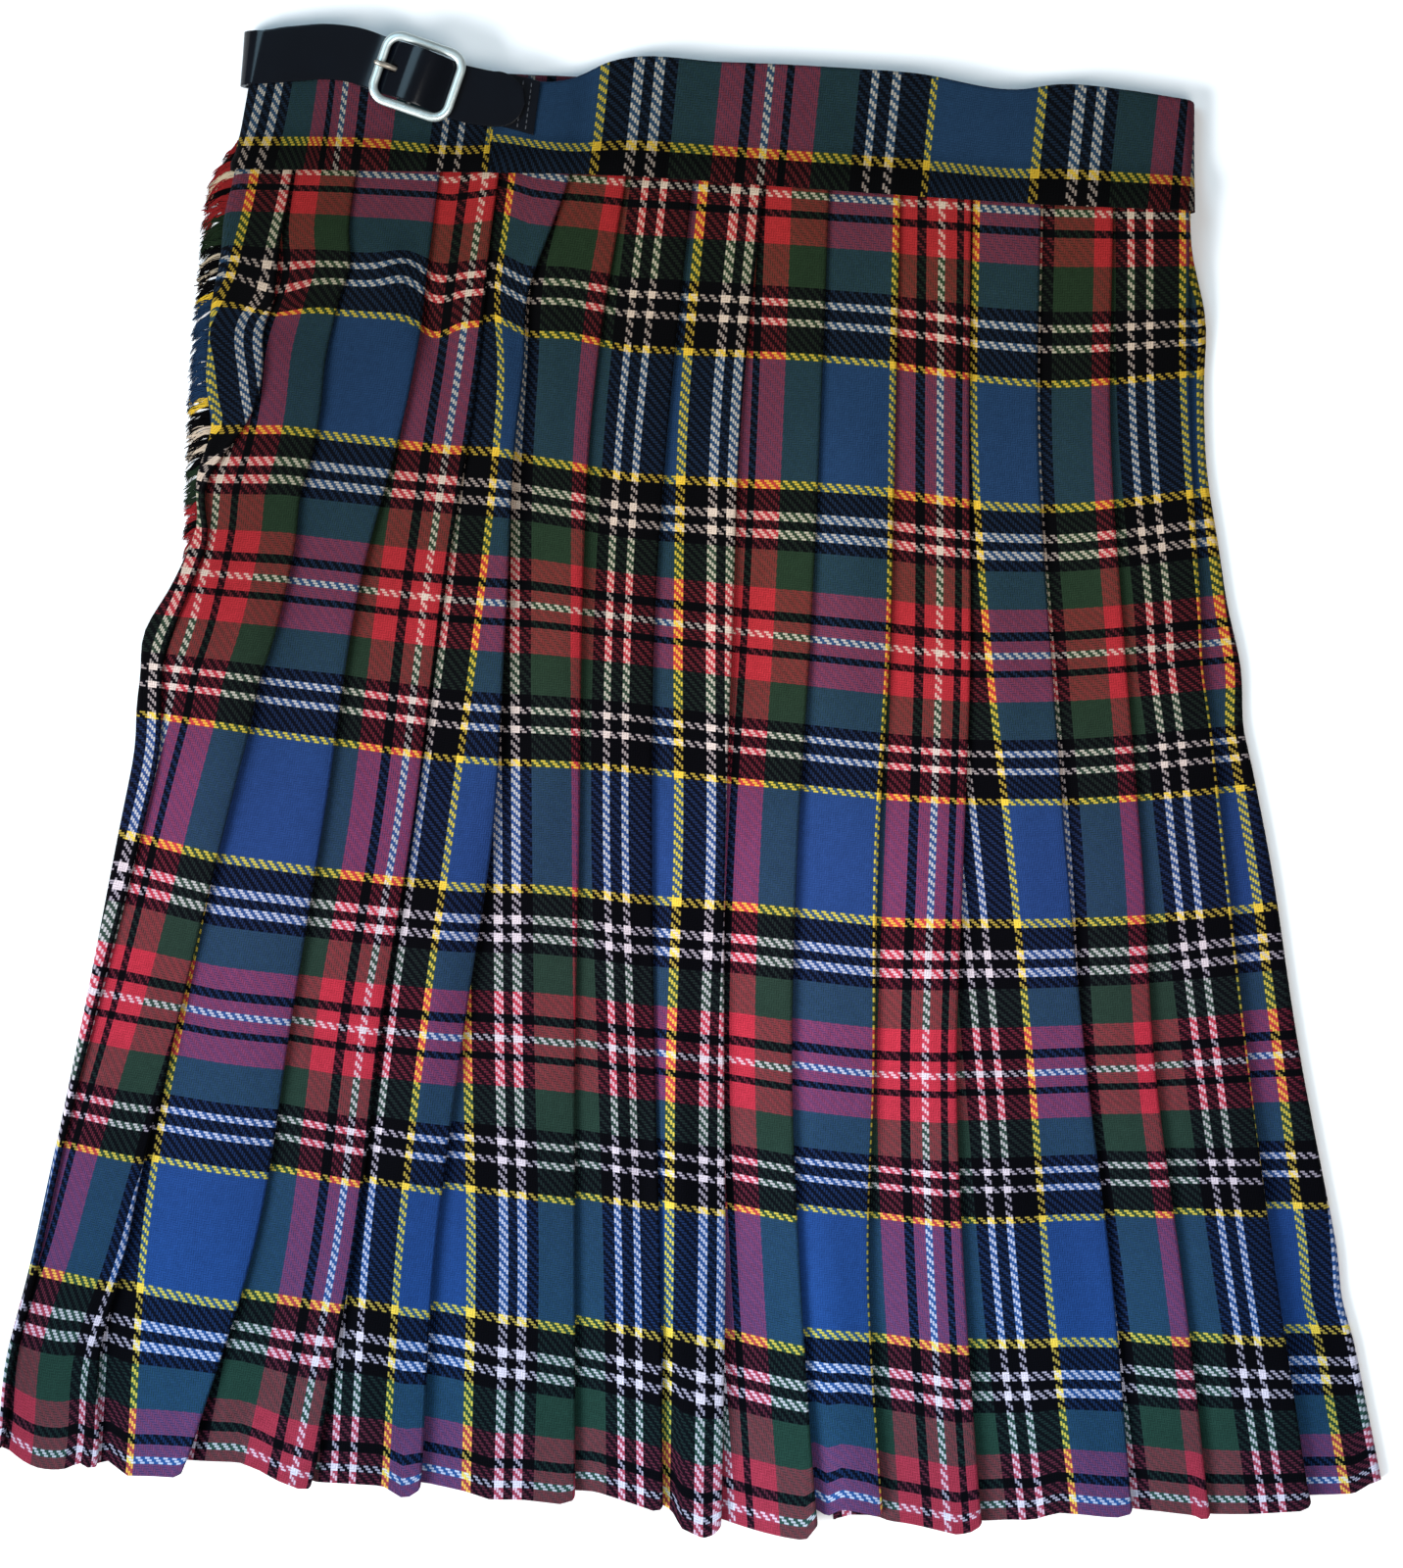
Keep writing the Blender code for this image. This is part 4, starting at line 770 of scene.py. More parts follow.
def band_level(part, x, height, layer):
    """Mid height of a layer of the band: 1 is its outer face, -1 its inner, and 0 its top fold."""
    middle, half = between(BAND_PARTS[part], height)
    if part == "back":
        return middle + layer * half
    up = ease((height - BAND_FLAT) / (BAND_LIFTED - BAND_FLAT))
    return middle - layer * half + BAND_LIFT * up * (1.0 - ease((x - STRAP_ROOT_X - 3.0) / 22.0))


def band_tall(row, x, front):
    return BAND if front else float(through(*zip(*BAND_TOP), x)) - float(row.back_y(x))


def band_section(tall):
    """Layers and heights across the band, from its seam over the top fold to its inner hem."""
    rising = np.concatenate([np.linspace(0.0, tall - 2.0, 15), [tall - 1.2, tall - BAND_HALF]])
    over = np.linspace(math.pi / 2, -math.pi / 2, 7)[1:-1]
    falling = rising[::-1][::2]
    layer = np.concatenate([np.ones(len(rising)), np.sin(over), -np.ones(len(falling))])
    height = np.concatenate([rising, tall - BAND_HALF + BAND_HALF * np.cos(over), falling])
    return layer, height


print("the band's doubled layers are", 2 * BAND_HALF, "mm apart")

# %% [markdown]
# The band was cut apart from the skirt, so its stripes have a table of their own. They lean a little,
# most of all by the strap. Over the top fold the pattern simply goes on down the inner layer.

# %% The waistband's pattern
BAND_WEFT_SEAM, BAND_WEFT_TALL, BAND_WEFT_BEND = 39.4, 46.4, 1.05
BAND_WEFT_FOLD = -14.0


def band_pattern(x, height, tall, layer, thread=None):
    """Thread of the warp and of the weft at a place on the band."""
    up = height / tall
    lean = 4.2 * (up - 0.5) + 8.0 * up * ease((-118.0 - x) / 50.0)
    if thread is None:
        thread = through(*zip(*BAND_STRIPES), x - lean)
    weft = BAND_WEFT_SEAM - BAND_WEFT_TALL * up ** BAND_WEFT_BEND
    weft = weft - 2.2 * np.exp(-((x + 86.0) / 20.0) ** 2) * (x < BAND_STEP)
    weft = weft + 4.6 * np.exp(-((x + 71.0) / 22.0) ** 2) * (x > BAND_STEP) * np.minimum(up / 0.24, 1.0)
    return np.stack([thread, np.where(layer > -0.5, weft, BAND_WEFT_FOLD - weft)], 1)


def front_thread(part, x):
    """The stripes of the front go on from the back's first or last one."""
    if part == "under":
        return BAND_STRIPES[0][1] - (x - BAND_CORNERS[0]) / THREAD_ACROSS
    return BAND_STRIPES[-1][1] + (BAND_CORNERS[1] - x) / THREAD_ACROSS


print("warp threads across the back of the band:", BAND_STRIPES[-1][1] - BAND_STRIPES[0][1])

# %% [markdown]
# The band wanders a little where the pleats below push it. Small ripples near the seam, deeper
# where a pleat's edge runs under it, stop it from looking like tape.

# %% The waistband's flat stretches
RIPPLED_FROM, RIPPLED_TO, RIPPLE_SOFT = -152.0, 168.0, 20.0


def bump_at(x, centre, reach):
    return np.exp(-((x - centre) / reach) ** 2)


def band_ripple(x, y, height, tall):
    """Puckers by the seam, broad waves, a dent, and a ridge where the step under the band lies."""
    near_seam = np.clip(1.0 - height / tall, 0.0, 1.0)
    pucker = 0.28 * np.sin(0.27 * x + 0.8) + 0.2 * np.sin(0.53 * x + 2.1)
    broad = 0.5 * np.sin(0.075 * x + 0.05 * y) * np.sin(math.pi * np.clip(height / tall, 0, 1))
    dent = -1.1 * bump_at(x, 0.1 * height - 40.0, 4.0) * (1.0 - 0.5 * near_seam)
    ridge = 0.9 * bump_at(x, BAND_STEP - 3.0, 3.0) - 0.6 * bump_at(x, BAND_STEP + 3.0, 3.0)
    return pucker * near_seam ** 2 + broad + dent + ridge * (0.3 + 0.7 * near_seam)


def band_flat_row(row, part, x):
    front = part != "back"
    bottom = float(row.front_y(x) if front else row.back_y(x))
    tall = band_tall(row, x, front)
    layer, height = band_section(tall)
    z = band_level(part, x, height, layer)
    thread = np.full(len(height), front_thread(part, x)) if front else None
    if not front:
        fade = float(ease((x - RIPPLED_FROM) / RIPPLE_SOFT) * ease((RIPPLED_TO - x) / RIPPLE_SOFT))
        z = z + (band_ripple(x, bottom + height, height, tall) + 0.2) * fade
    points = np.stack([np.full(len(height), x), bottom + height, z], 1)
    return points, band_pattern(x, height, tall, layer, thread)


def band_end_row(row):
    """The free end of the band over the fringe, which leans with the strap."""
    layer, height = band_section(BAND)
    x = BAND_END_SEAM + (BAND_END_TOP - BAND_END_SEAM) * height / BAND
    z = np.array([float(band_level("over", a, h, la)) for a, h, la in zip(x, height, layer)])
    points = np.stack([x, row.front_y(x) + height, z], 1)
    return points, band_pattern(x, height, BAND, layer, front_thread("over", x))


seam = Row(0.0)
print("the back of the band is %.1f mm tall in its middle" % band_tall(seam, 0.0, False))

# %% [markdown]
# Round each side the band makes a thick soft turn. Its rows swing from the front up to the back,
# each layer at its own distance from the turn's centre. Then all the rows are joined into one strip.

# %% The band's sides, and the whole band
SIDE_THREADS = 5.0
BAND_SNUG = -161.4


def band_side_rows(row, side, front_part, parts=10):
    """Rows of points round a side fold of the band, from the front up to the back."""
    sign = 1 if side == "right" else -1
    edge = row.right if side == "right" else row.left
    rows = []
    for k in range(parts + 1):
        share = k / parts
        angle = math.pi * (share - 0.5)
        tall = band_tall(row, edge, True) * (1 - share) + band_tall(row, edge, False) * share
        layer, height = band_section(tall)
        middle, half = between(BAND_SIDES[side], height)
        reach = middle + layer * half
        if side == "right":
            centre = row.right + BAND_CLEAR - middle - half
        else:
            outermost = np.interp(height / BAND, *zip(*BAND_LEFT))
            snug = min(BAND_SNUG, row.left - BAND_CLEAR - CLOTH / 2)
            outermost = np.where(height <= BAND_NECK, np.minimum(outermost, snug), outermost)
            centre = outermost + CLOTH / 2 + middle + half
        x = centre + sign * reach * math.cos(angle)
        low = band_level(front_part, centre, height, layer)
        high = band_level("back", centre, height, layer)
        bottom = row.front_y(x) * (1 - share) + row.back_y(x) * share
        z = (low + high) / 2 + (high - low) / 2 * math.sin(angle)
        pattern = band_pattern(x, height, tall, layer)
        pattern[:, 0] += sign * (1.0 - share) * SIDE_THREADS
        rows.append((np.stack([x, bottom + height, z], 1), pattern))
    return rows


flat_left, flat_right, flat_end = -150.0, 157.0, -144.0
step_edges = (BAND_STEP - 0.15, BAND_STEP + 0.15)
back_places = np.sort(np.append(np.linspace(flat_left, flat_right, 124), step_edges))
band_rows = [band_flat_row(seam, "under", x) for x in np.linspace(seam.right - FREE_EDGE, flat_left, 60)]
band_rows += band_side_rows(seam, "left", "under")
band_rows += [band_flat_row(seam, "back", x) for x in back_places]
band_rows += band_side_rows(seam, "right", "over")[::-1]
band_rows += [band_flat_row(seam, "over", x) for x in np.linspace(flat_right, flat_end, 60)]
band_rows.append(band_end_row(seam))
waistband = folded_cloth("waistband_cloth", *(np.stack(part) for part in zip(*band_rows)))
print("waistband: %d rows round the waist" % len(band_rows))

# %% [markdown]
# A fringe is the cloth's own weft: the warp threads are drawn out along the edge, and the weft
# threads stay behind. Each strand has its root on the over-apron's edge, and its colour is that of
# the weft thread it grows out of. The last few strands run up under the waistband's end.

# %% The fringe's line
FRINGE_LONG, FRINGE_UP_BAND = 11.2, 13.0
FRINGE_SHORTER, FRINGE_TOP_LEVEL = 7.5, 1.3
edge_rows = [Row(depth) for depth in np.linspace(0.0, SKIRT, 80)]
edge_down = [row.depth for row in edge_rows]
edge_line = [row.edge for row in edge_rows], [float(row.front_y(row.edge)) for row in edge_rows]


def fringe_place(travel):
    """Root of a strand at a travel from the hem up: x, y, mid height, length, weft thread."""
    if travel <= SKIRT:
        depth = SKIRT - travel
        x, y = (float(np.interp(depth, edge_down, line)) for line in edge_line)
        return x, y, over_level(depth), FRINGE_LONG, SEAM_WEFT + depth / THREAD_DOWN + apron_shift(depth)
    up = travel - SKIRT
    x = min(seam.edge, BAND_END_SEAM) + (BAND_END_TOP - BAND_END_SEAM) / BAND * max(up - TAIL, 0.0)
    share = up / FRINGE_UP_BAND
    return (x, float(seam.front_y(x)) + up, OVER_TAIL + (FRINGE_TOP_LEVEL - OVER_TAIL) * share,
            FRINGE_LONG - FRINGE_SHORTER * share, SEAM_WEFT + 2.0 - up / THREAD_DOWN)


whole = SKIRT + FRINGE_UP_BAND
print("the fringe runs along %.0f mm of edge" % whole)

# %% [markdown]
# One thread is modelled as a thin three-sided tube, extruded ring by ring. It is copied, and then
# the copies are copied again and again, which is much quicker than one at a time.

# %% One straight strand, then thousands
FRINGE_RINGS = 7
FIRST_COPIES, DOUBLINGS = 46, 6
fringe_mesh = bmesh.new()
ring = bmesh.ops.create_circle(fringe_mesh, segments=3, radius=0.5)["verts"]
bmesh.ops.rotate(fringe_mesh, verts=ring, matrix=Matrix.Rotation(math.pi / 2, 3, "Y"))
edges = list(fringe_mesh.edges)
for _ in range(FRINGE_RINGS - 1):
    grown = bmesh.ops.extrude_edge_only(fringe_mesh, edges=edges)["geom"]
    ring = [part for part in grown if isinstance(part, bmesh.types.BMVert)]
    edges = [part for part in grown if isinstance(part, bmesh.types.BMEdge)
             and all(v in ring for v in part.verts)]
    bmesh.ops.translate(fringe_mesh, verts=ring, vec=(-1.0, 0.0, 0.0))
strand_corners, strand_sides = len(fringe_mesh.verts), len(fringe_mesh.faces)
strand_uv = fringe_mesh.loops.layers.uv.new("threads")
for _ in range(FIRST_COPIES):
    fringe_mesh.verts.ensure_lookup_table()
    verts = fringe_mesh.verts[:strand_corners]
    own = set(verts)
    one = verts + [e for e in fringe_mesh.edges if e.verts[0] in own]
    bmesh.ops.duplicate(fringe_mesh, geom=one + list(fringe_mesh.faces)[:strand_sides])
for _ in range(DOUBLINGS):
    bmesh.ops.duplicate(fringe_mesh, geom=fringe_mesh.verts[:] + fringe_mesh.edges[:] + fringe_mesh.faces[:])
strands = len(fringe_mesh.verts) // strand_corners
print("straight strands:", strands)

# %% [markdown]
# Drawn-out threads don't hang straight. They cling together in small locks, a lock leans one way and
# curls, and each thread in it strays a little. Every strand is bent its own way with random numbers
# from a fixed seed, so the fringe is the same every time.

# %% Bending the strands
LOCK = 8
FRINGE_TURN = 1.3
FRINGE_GATHER = 0.35
FRINGE_ROOT = 0.4
corners, sides = list(fringe_mesh.verts), list(fringe_mesh.faces)
chance = random.Random(7)
for k in range(strands):
    verts = corners[k * strand_corners:(k + 1) * strand_corners]
    if k % LOCK == 0:
        lock_reach, lock_drift = chance.uniform(0.9, 1.0), chance.gauss(-3.2, 1.1)
        lock_wave, lock_phase = chance.uniform(0.3, 1.0), chance.uniform(0.0, 6.3)
        lock_low = chance.uniform(0.0, 1.0)
    x, y, z, long, weft = fringe_place(whole * (k + 0.5) / strands)
    middle = fringe_place(min(whole * (k - k % LOCK + LOCK / 2) / strands, whole))[1]
    reach = long * lock_reach * chance.uniform(0.84, 1.03) + FRINGE_ROOT
    drift = (lock_drift + chance.gauss(0.0, 0.8)) * (1.0 + 1.2 * max(x + 172.0, 0.0) / 11.0)
    stray = chance.gauss(0.0, 0.16)
    thick = chance.uniform(0.5, 0.95)
    for vertex in verts:
        t = -vertex.co.x / (FRINGE_RINGS - 1)
        across, up = vertex.co.y, vertex.co.z
        out = math.sin(FRINGE_TURN * t) / math.sin(FRINGE_TURN)
        down = 1.0 - math.cos(FRINGE_TURN * t)
        slim = thick * (1.0 - 0.5 * t * t)
        curl = lock_wave * t * math.sin(lock_phase + 5.5 * t) + stray * math.sin(9.0 * t)
        curl += (middle - y) * FRINGE_GATHER * t * t
        low = 0.35 + 0.9 * lock_low * math.sin(math.pi * t) + 0.2 * math.sin(lock_phase) * t
        height = z + (low - z) * (min(1.0, 3.0 * t) if z < 1.0 else t)
        vertex.co = Vector((x + FRINGE_ROOT - reach * out, y + drift * down * 1.3 + curl + across * slim,
                            max(height, 0.25 + slim * 0.4) + up * slim)) * MM
    for face in sides[k * strand_sides:(k + 1) * strand_sides]:
        face.smooth = True
        for loop in face.loops:
            loop[strand_uv].uv = ((k * 0.37) % 1.0, weft / SETT)
bmesh.ops.recalc_face_normals(fringe_mesh, faces=fringe_mesh.faces)
fringe = as_object("fringe_threads", fringe_mesh)
print("fringe: %d strands, %d faces" % (strands, len(fringe.data.polygons)))

# %% [markdown]
# The buckle sits turned on the waistband, so its parts are made along its own axes and one helper
# puts them in place. The strap climbs over the buckle's bar, which gives it its bright hump.

# %% The buckle's own axes, and the strap's line
BUCKLE_X, BUCKLE_Y, BUCKLE_TURN = -96.4, 247.8, math.radians(-19.0)
STRAP_WIDE, STRAP_THICK, STRAP_SLANT = 19.4, 1.8, -0.3
STRAP_ROOT_Y, STRAP_SIDE_X, STRAP_SIDE_Y, STRAP_SIDE_TOP, STRAP_SIDE_NOSE = 253.8, -152.7, 255.0, 11.7, 5.0
ROOT_ROWS, SIDE_ROWS = 4, 15
STRAP_LINE = ((-152.0, 255.2), (-140.0, 256.3), (-127.0, 257.0), (-117.0, 255.4), (-110.0, 252.7),
              (-96.4, 247.8), (-83.0, 243.0), (-76.0, 241.0), (-69.0, 240.2), (-59.0, 241.2))
STRAP_ARCH = ((-26.0, 11.7), (-18.0, 11.8), (-15.0, 12.1), (-12.6, 12.6), (-8.0, 15.7), (-4.0, 17.7),
              (0.0, 18.2), (3.5, 17.7), (6.0, 16.5), (8.6, 14.7), (12.0, 13.1), (16.0, 13.0), (40.0, 13.0))


def on_buckle(along, across, height):
    x = BUCKLE_X + along * math.cos(BUCKLE_TURN) - across * math.sin(BUCKLE_TURN)
    y = BUCKLE_Y + along * math.sin(BUCKLE_TURN) + across * math.cos(BUCKLE_TURN)
    return np.array([x, y, height], dtype=float)


def along_buckle(x, y):
    return (x - BUCKLE_X) * math.cos(BUCKLE_TURN) + (y - BUCKLE_Y) * math.sin(BUCKLE_TURN)


def strap_path():
    """Mid points of the strap and the direction across it, from its root to its tip."""
    low, high = STRAP_THICK / 2, STRAP_SIDE_TOP
    run, rise = STRAP_SIDE_X - STRAP_ROOT_X, STRAP_SIDE_Y - STRAP_ROOT_Y
    lean = math.atan2(rise, -run)
    path = [(STRAP_ROOT_X + run * share, STRAP_ROOT_Y + rise * share, low, lean)
            for share in np.arange(ROOT_ROWS) * 0.3]
    for share in np.linspace(0.0, 1.0, SIDE_ROWS):
        angle = math.pi * (share - 0.5)
        path.append((STRAP_SIDE_X - STRAP_SIDE_NOSE * math.cos(angle), STRAP_SIDE_Y,
                     (low + high) / 2 + (high - low) / 2 * math.sin(angle),
                     lean + (STRAP_SLANT + 0.09 - lean) * share))
    xs, ys = zip(*STRAP_LINE)
    for x in np.linspace(xs[0], xs[-1], 92):
        y, before, after = (float(through(xs, ys, place)) for place in (x, x - 1.0, x + 1.0))
        z = float(np.interp(along_buckle(x, y), *zip(*STRAP_ARCH)))
        lean = math.atan2(after - before, 2.0) + STRAP_SLANT * math.exp(-((x - xs[0]) / 8.0) ** 2)
        path.append((x, y, z, lean))
    return np.array(path)


def steps_along(points):
    """Distance of each point from the first, along the line."""
    return np.concatenate([[0.0], np.cumsum(np.linalg.norm(np.diff(points, axis=0), axis=1))])


strap_line = strap_path()
on_top = ROOT_ROWS + SIDE_ROWS + 1
smoothed = np.convolve(np.pad(strap_line[:, 2], 1, mode="edge"), [0.25, 0.5, 0.25], "valid")
strap_line[on_top:, 2] = smoothed[on_top:]
print("strap: %.0f mm from its root to its tip" % steps_along(strap_line[:, :3])[-1])

# %% [markdown]
# Leather is a flat strip with thickness and softly rounded edges: a grid, bent along the line, then
# Solidify and Bevel. The hole for the prong is left out of the grid, and its corners are pulled in
# so that it comes out oval.

# %% A strip of leather
EDGE_WORN, EDGE_ANGLE = 0.32, 50.0
GRAIN_LONG = 20.0
HOLE_ROUND = 0.18
HOLE_COLUMNS = (5, 7)
# Places across a strip, closer together at its edges and beside the hole.
ACROSS = np.array([-1.0, -0.92, -0.78, -0.6, -0.4, -0.145, 0.0, 0.145, 0.4, 0.6, 0.78, 0.92, 1.0])


def leather_strip(name, rows, thick, hole_rows):
    """rows of points across the leather; the hole lies between two of the rows."""
    rows = np.asarray(rows)
    down, across = rows.shape[:2]
    mesh = bmesh.new()
    grain = mesh.loops.layers.uv.new("grain")
    bmesh.ops.create_grid(mesh, x_segments=across - 1, y_segments=down - 1, size=0.5)
    places = {vertex: (round((0.5 - vertex.co.y) * (down - 1)), round((vertex.co.x + 0.5) * (across - 1)))
              for vertex in mesh.verts}
    run = steps_along(rows[:, across // 2])
    for face in mesh.faces:
        face.smooth = True
        for loop in face.loops:
            r, c = places[loop.vert]
            loop[grain].uv = (run[r] / GRAIN_LONG, c / (across - 1) - 0.5)
    (r0, r1), (c0, c1) = hole_rows, HOLE_COLUMNS
    centre = Vector(rows[(r0 + r1) // 2, (c0 + c1) // 2] * MM)
    for vertex, (r, c) in places.items():
        vertex.co = rows[r, c] * MM
        if r in (r0, r1) and c in (c0, c1):
            vertex.co = vertex.co.lerp(centre, HOLE_ROUND)
    inside = [face for face in mesh.faces
              if all(r0 <= places[v][0] <= r1 and c0 <= places[v][1] <= c1 for v in face.verts)]
    bmesh.ops.delete(mesh, geom=inside, context="FACES")
    bmesh.ops.recalc_face_normals(mesh, faces=mesh.faces)
    strip = as_object(name, mesh)
    give_wall(strip, "leather_thickness", thick)
    soft = strip.modifiers.new("worn_edges", "BEVEL")
    soft.width = EDGE_WORN * MM
    soft.segments = 3
    soft.limit_method = "ANGLE"
    soft.angle_limit = math.radians(EDGE_ANGLE)
    print(name, "is", round(float(run[-1])), "mm long")
    return strip


# %% [markdown]
# The strap narrows to a round tip. Its hole lies where it comes down from the bar, so that the prong
# comes up through it and rests on the frame.

# %% The strap
TIP_LONG, TIP_LEAST = 9.0, 0.3
STRAP_DOME, STRAP_SUNK = 0.12, 0.1
STRAP_HOLE = (-9.9, -7.4)
strap_rows = []
to_tip = np.linalg.norm(strap_line[:, :2] - strap_line[-1, :2], axis=1)
for (x, y, z, lean), left in zip(strap_line, to_tip):
    half = STRAP_WIDE / 2
    if left < TIP_LONG:
        half *= max(math.sqrt(1.0 - (1.0 - left / TIP_LONG) ** 2), TIP_LEAST)
    dome = STRAP_DOME * (1 - ACROSS ** 2)
    strap_rows.append(np.stack([x - ACROSS * half * math.sin(lean), y + ACROSS * half * math.cos(lean),
                                z - STRAP_SUNK + dome], 1))
alongs = along_buckle(strap_line[:, 0], strap_line[:, 1])
alongs[:on_top] = -99.0
strap = leather_strip("leather_strap", strap_rows, STRAP_THICK,
                      [int(np.argmin(abs(alongs - place))) for place in STRAP_HOLE])

# %% [markdown]
# The chape is a short tab, folded round the buckle's bar and sewn down on the band. It is one strip
# too: out along the band, round the bar and back, with a slot where the prong turns.

# %% The chape
CHAPE_LINE = ((45.0, 11.3), (30.0, 11.3), (15.0, 11.3), (6.0, 11.3), (3.0, 11.6), (0.0, 12.2),
              (-1.2, 12.7), (-1.7, 13.9), (-1.2, 15.1), (0.0, 15.6), (3.0, 15.0), (6.0, 13.3), (8.5, 12.7))
CHAPE_HALF, CHAPE_THICK, CHAPE_ROWS = 9.3, 1.0, 64
SLOT_REACH, SLOT_FROM_END = 5.0, 24.0


def chape_swing(along):
    """How far the chape bends away from the buckle's own axis."""
    return 3.5 * float(ease((along - 6.0) / 39.0))


chape_steps = steps_along(CHAPE_LINE)
chape_fine = np.linspace(0.0, chape_steps[-1], CHAPE_ROWS)
chape_along, chape_height = (np.interp(chape_fine, chape_steps, column) for column in zip(*CHAPE_LINE))
chape_rows = []
for along, height in zip(chape_along, chape_height):
    swing, slant = chape_swing(along), 1.9 * float(ease((along - 20.0) / 25.0))
    chape_rows.append([on_buckle(along - slant * (1.0 + share), swing + share * CHAPE_HALF, height)
                       for share in ACROSS])
slot = [k for k in range(CHAPE_ROWS)
        if abs(chape_along[k]) < SLOT_REACH and chape_steps[-1] - chape_fine[k] < SLOT_FROM_END]
chape = leather_strip("leather_chape", chape_rows, CHAPE_THICK, (slot[0], slot[-1]))

# %% [markdown]
# Cast metal has a rounded section all the way round. The frame starts as one oval of points, which
# is extruded along a side and spun round a corner. Two mirrors make the other three corners.

# %% Tools for cast metal
def metal_object(name, mesh):
    """Brings a metal piece to metres, rounds its shading and adds it to the scene."""
    bmesh.ops.scale(mesh, vec=(MM, MM, MM), verts=mesh.verts)
    bmesh.ops.recalc_face_normals(mesh, faces=mesh.faces)
    for face in mesh.faces:
        face.smooth = True
    piece = as_object(name, mesh)
    print(name, "has", len(piece.data.polygons), "faces")
    return piece


def grow_ring(mesh, edges):
    """Extrudes a ring of edges: the new ring's edges and corners."""
    grown = bmesh.ops.extrude_edge_only(mesh, edges=edges)["geom"]
    verts = [part for part in grown if isinstance(part, bmesh.types.BMVert)]
    return [part for part in grown if isinstance(part, bmesh.types.BMEdge)
            and all(v in verts for v in part.verts)], verts


def order_like(ring, places):
    """Section places of a fresh ring, read from the ring that it was extruded from."""
    mates = [next(e.other_vert(v) for e in v.link_edges if e.other_vert(v) in places) for v in ring]
    return [places[mate] for mate in mates]


def tube_along(mesh, points, sizes, segments):
    """A closed tube with an oval section: points, and (across, up) half sizes at each."""
    points = [Vector(p) for p in points]
    for k, (point, (wide, tall)) in enumerate(zip(points, sizes)):
        ahead = (points[min(k + 1, len(points) - 1)] - points[max(k - 1, 0)]).normalized()
        side = Vector((-math.sin(BUCKLE_TURN), math.cos(BUCKLE_TURN), 0.0))
        if abs(ahead.dot(side)) > 0.8:
            side = Vector((math.cos(BUCKLE_TURN), math.sin(BUCKLE_TURN), 0.0))
        rise = ahead.cross(side).normalized()
        if k == 0:
            ring = bmesh.ops.create_circle(mesh, segments=segments, radius=1.0, cap_ends=True)["verts"]
            edges = [e for e in mesh.edges if all(v in ring for v in e.verts)]
            flat = [(v.co.x, v.co.y) for v in ring]
        else:
            edges, ring = grow_ring(mesh, edges)
            flat = order_like(ring, places)
        places = dict(zip(ring, flat))
        for v, (a, b) in places.items():
            v.co = point + side * a * wide + rise * b * tall
    bmesh.ops.holes_fill(mesh, edges=edges)


# %% [markdown]
# A quarter of the frame is made, half a side and one corner, and the mirrors do the rest. The bar
# is a thin tube that dips below the frame, so that the strap has room to pass over it.

# %% The buckle's frame and bar
FRAME_LONG, FRAME_WIDE, FRAME_BAR, FRAME_CORNER, FRAME_THICK = 31.0, 27.0, 3.3, 7.0, 1.9
FRAME_MIDDLE, BAR_LEVEL, BAR_HALF = 15.5, 13.9, 0.85
side_run, end_run = FRAME_LONG / 2 - FRAME_CORNER, FRAME_WIDE / 2 - FRAME_CORNER
frame_mesh = bmesh.new()
for v in bmesh.ops.create_circle(frame_mesh, segments=14, radius=1.0)["verts"]:
    v.co = Vector((FRAME_LONG / 2 - FRAME_BAR / 2 + v.co.x * FRAME_BAR / 2, 0.0, v.co.y * FRAME_THICK / 2))
ring_edges, ring_verts = grow_ring(frame_mesh, list(frame_mesh.edges))
bmesh.ops.translate(frame_mesh, verts=ring_verts, vec=(0.0, end_run, 0.0))
spun = bmesh.ops.spin(frame_mesh, geom=ring_edges, axis=(0, 0, 1), angle=math.pi / 2, steps=8,
                      cent=(side_run, end_run, 0.0), use_merge=False)["geom_last"]
ring_edges = [part for part in spun if isinstance(part, bmesh.types.BMEdge)]
ring_edges, ring_verts = grow_ring(frame_mesh, ring_edges)
bmesh.ops.translate(frame_mesh, verts=ring_verts, vec=(-side_run, 0.0, 0.0))
for axis in ("X", "Y"):
    bmesh.ops.mirror(frame_mesh, geom=frame_mesh.verts[:] + frame_mesh.edges[:] + frame_mesh.faces[:],
                     axis=axis, merge_dist=0.001)
bmesh.ops.remove_doubles(frame_mesh, verts=frame_mesh.verts, dist=0.001)
turned = Matrix.Translation((BUCKLE_X, BUCKLE_Y, FRAME_MIDDLE)) @ Matrix.Rotation(BUCKLE_TURN, 4, "Z")
bmesh.ops.transform(frame_mesh, matrix=turned, verts=frame_mesh.verts)
bar_reach = FRAME_WIDE / 2 - 1.2
bar_points = ((-bar_reach, 15.4), (-bar_reach + 1.0, 14.6), (-bar_reach + 2.2, 13.95), (0.0, BAR_LEVEL),
              (bar_reach - 2.2, 13.95), (bar_reach - 1.0, 14.6), (bar_reach, 15.4))
tube_along(frame_mesh, [on_buckle(0, across, height) for across, height in bar_points],
           [(BAR_HALF, BAR_HALF)] * len(bar_points), 12)
buckle_frame = metal_object("buckle_frame_cast", frame_mesh)

# %% [markdown]
# The prong is a wire that is bent round the bar. From there it passes under the strap, comes up
# through its hole and rests on the frame, where it is flattened and ends in a blunt tip.

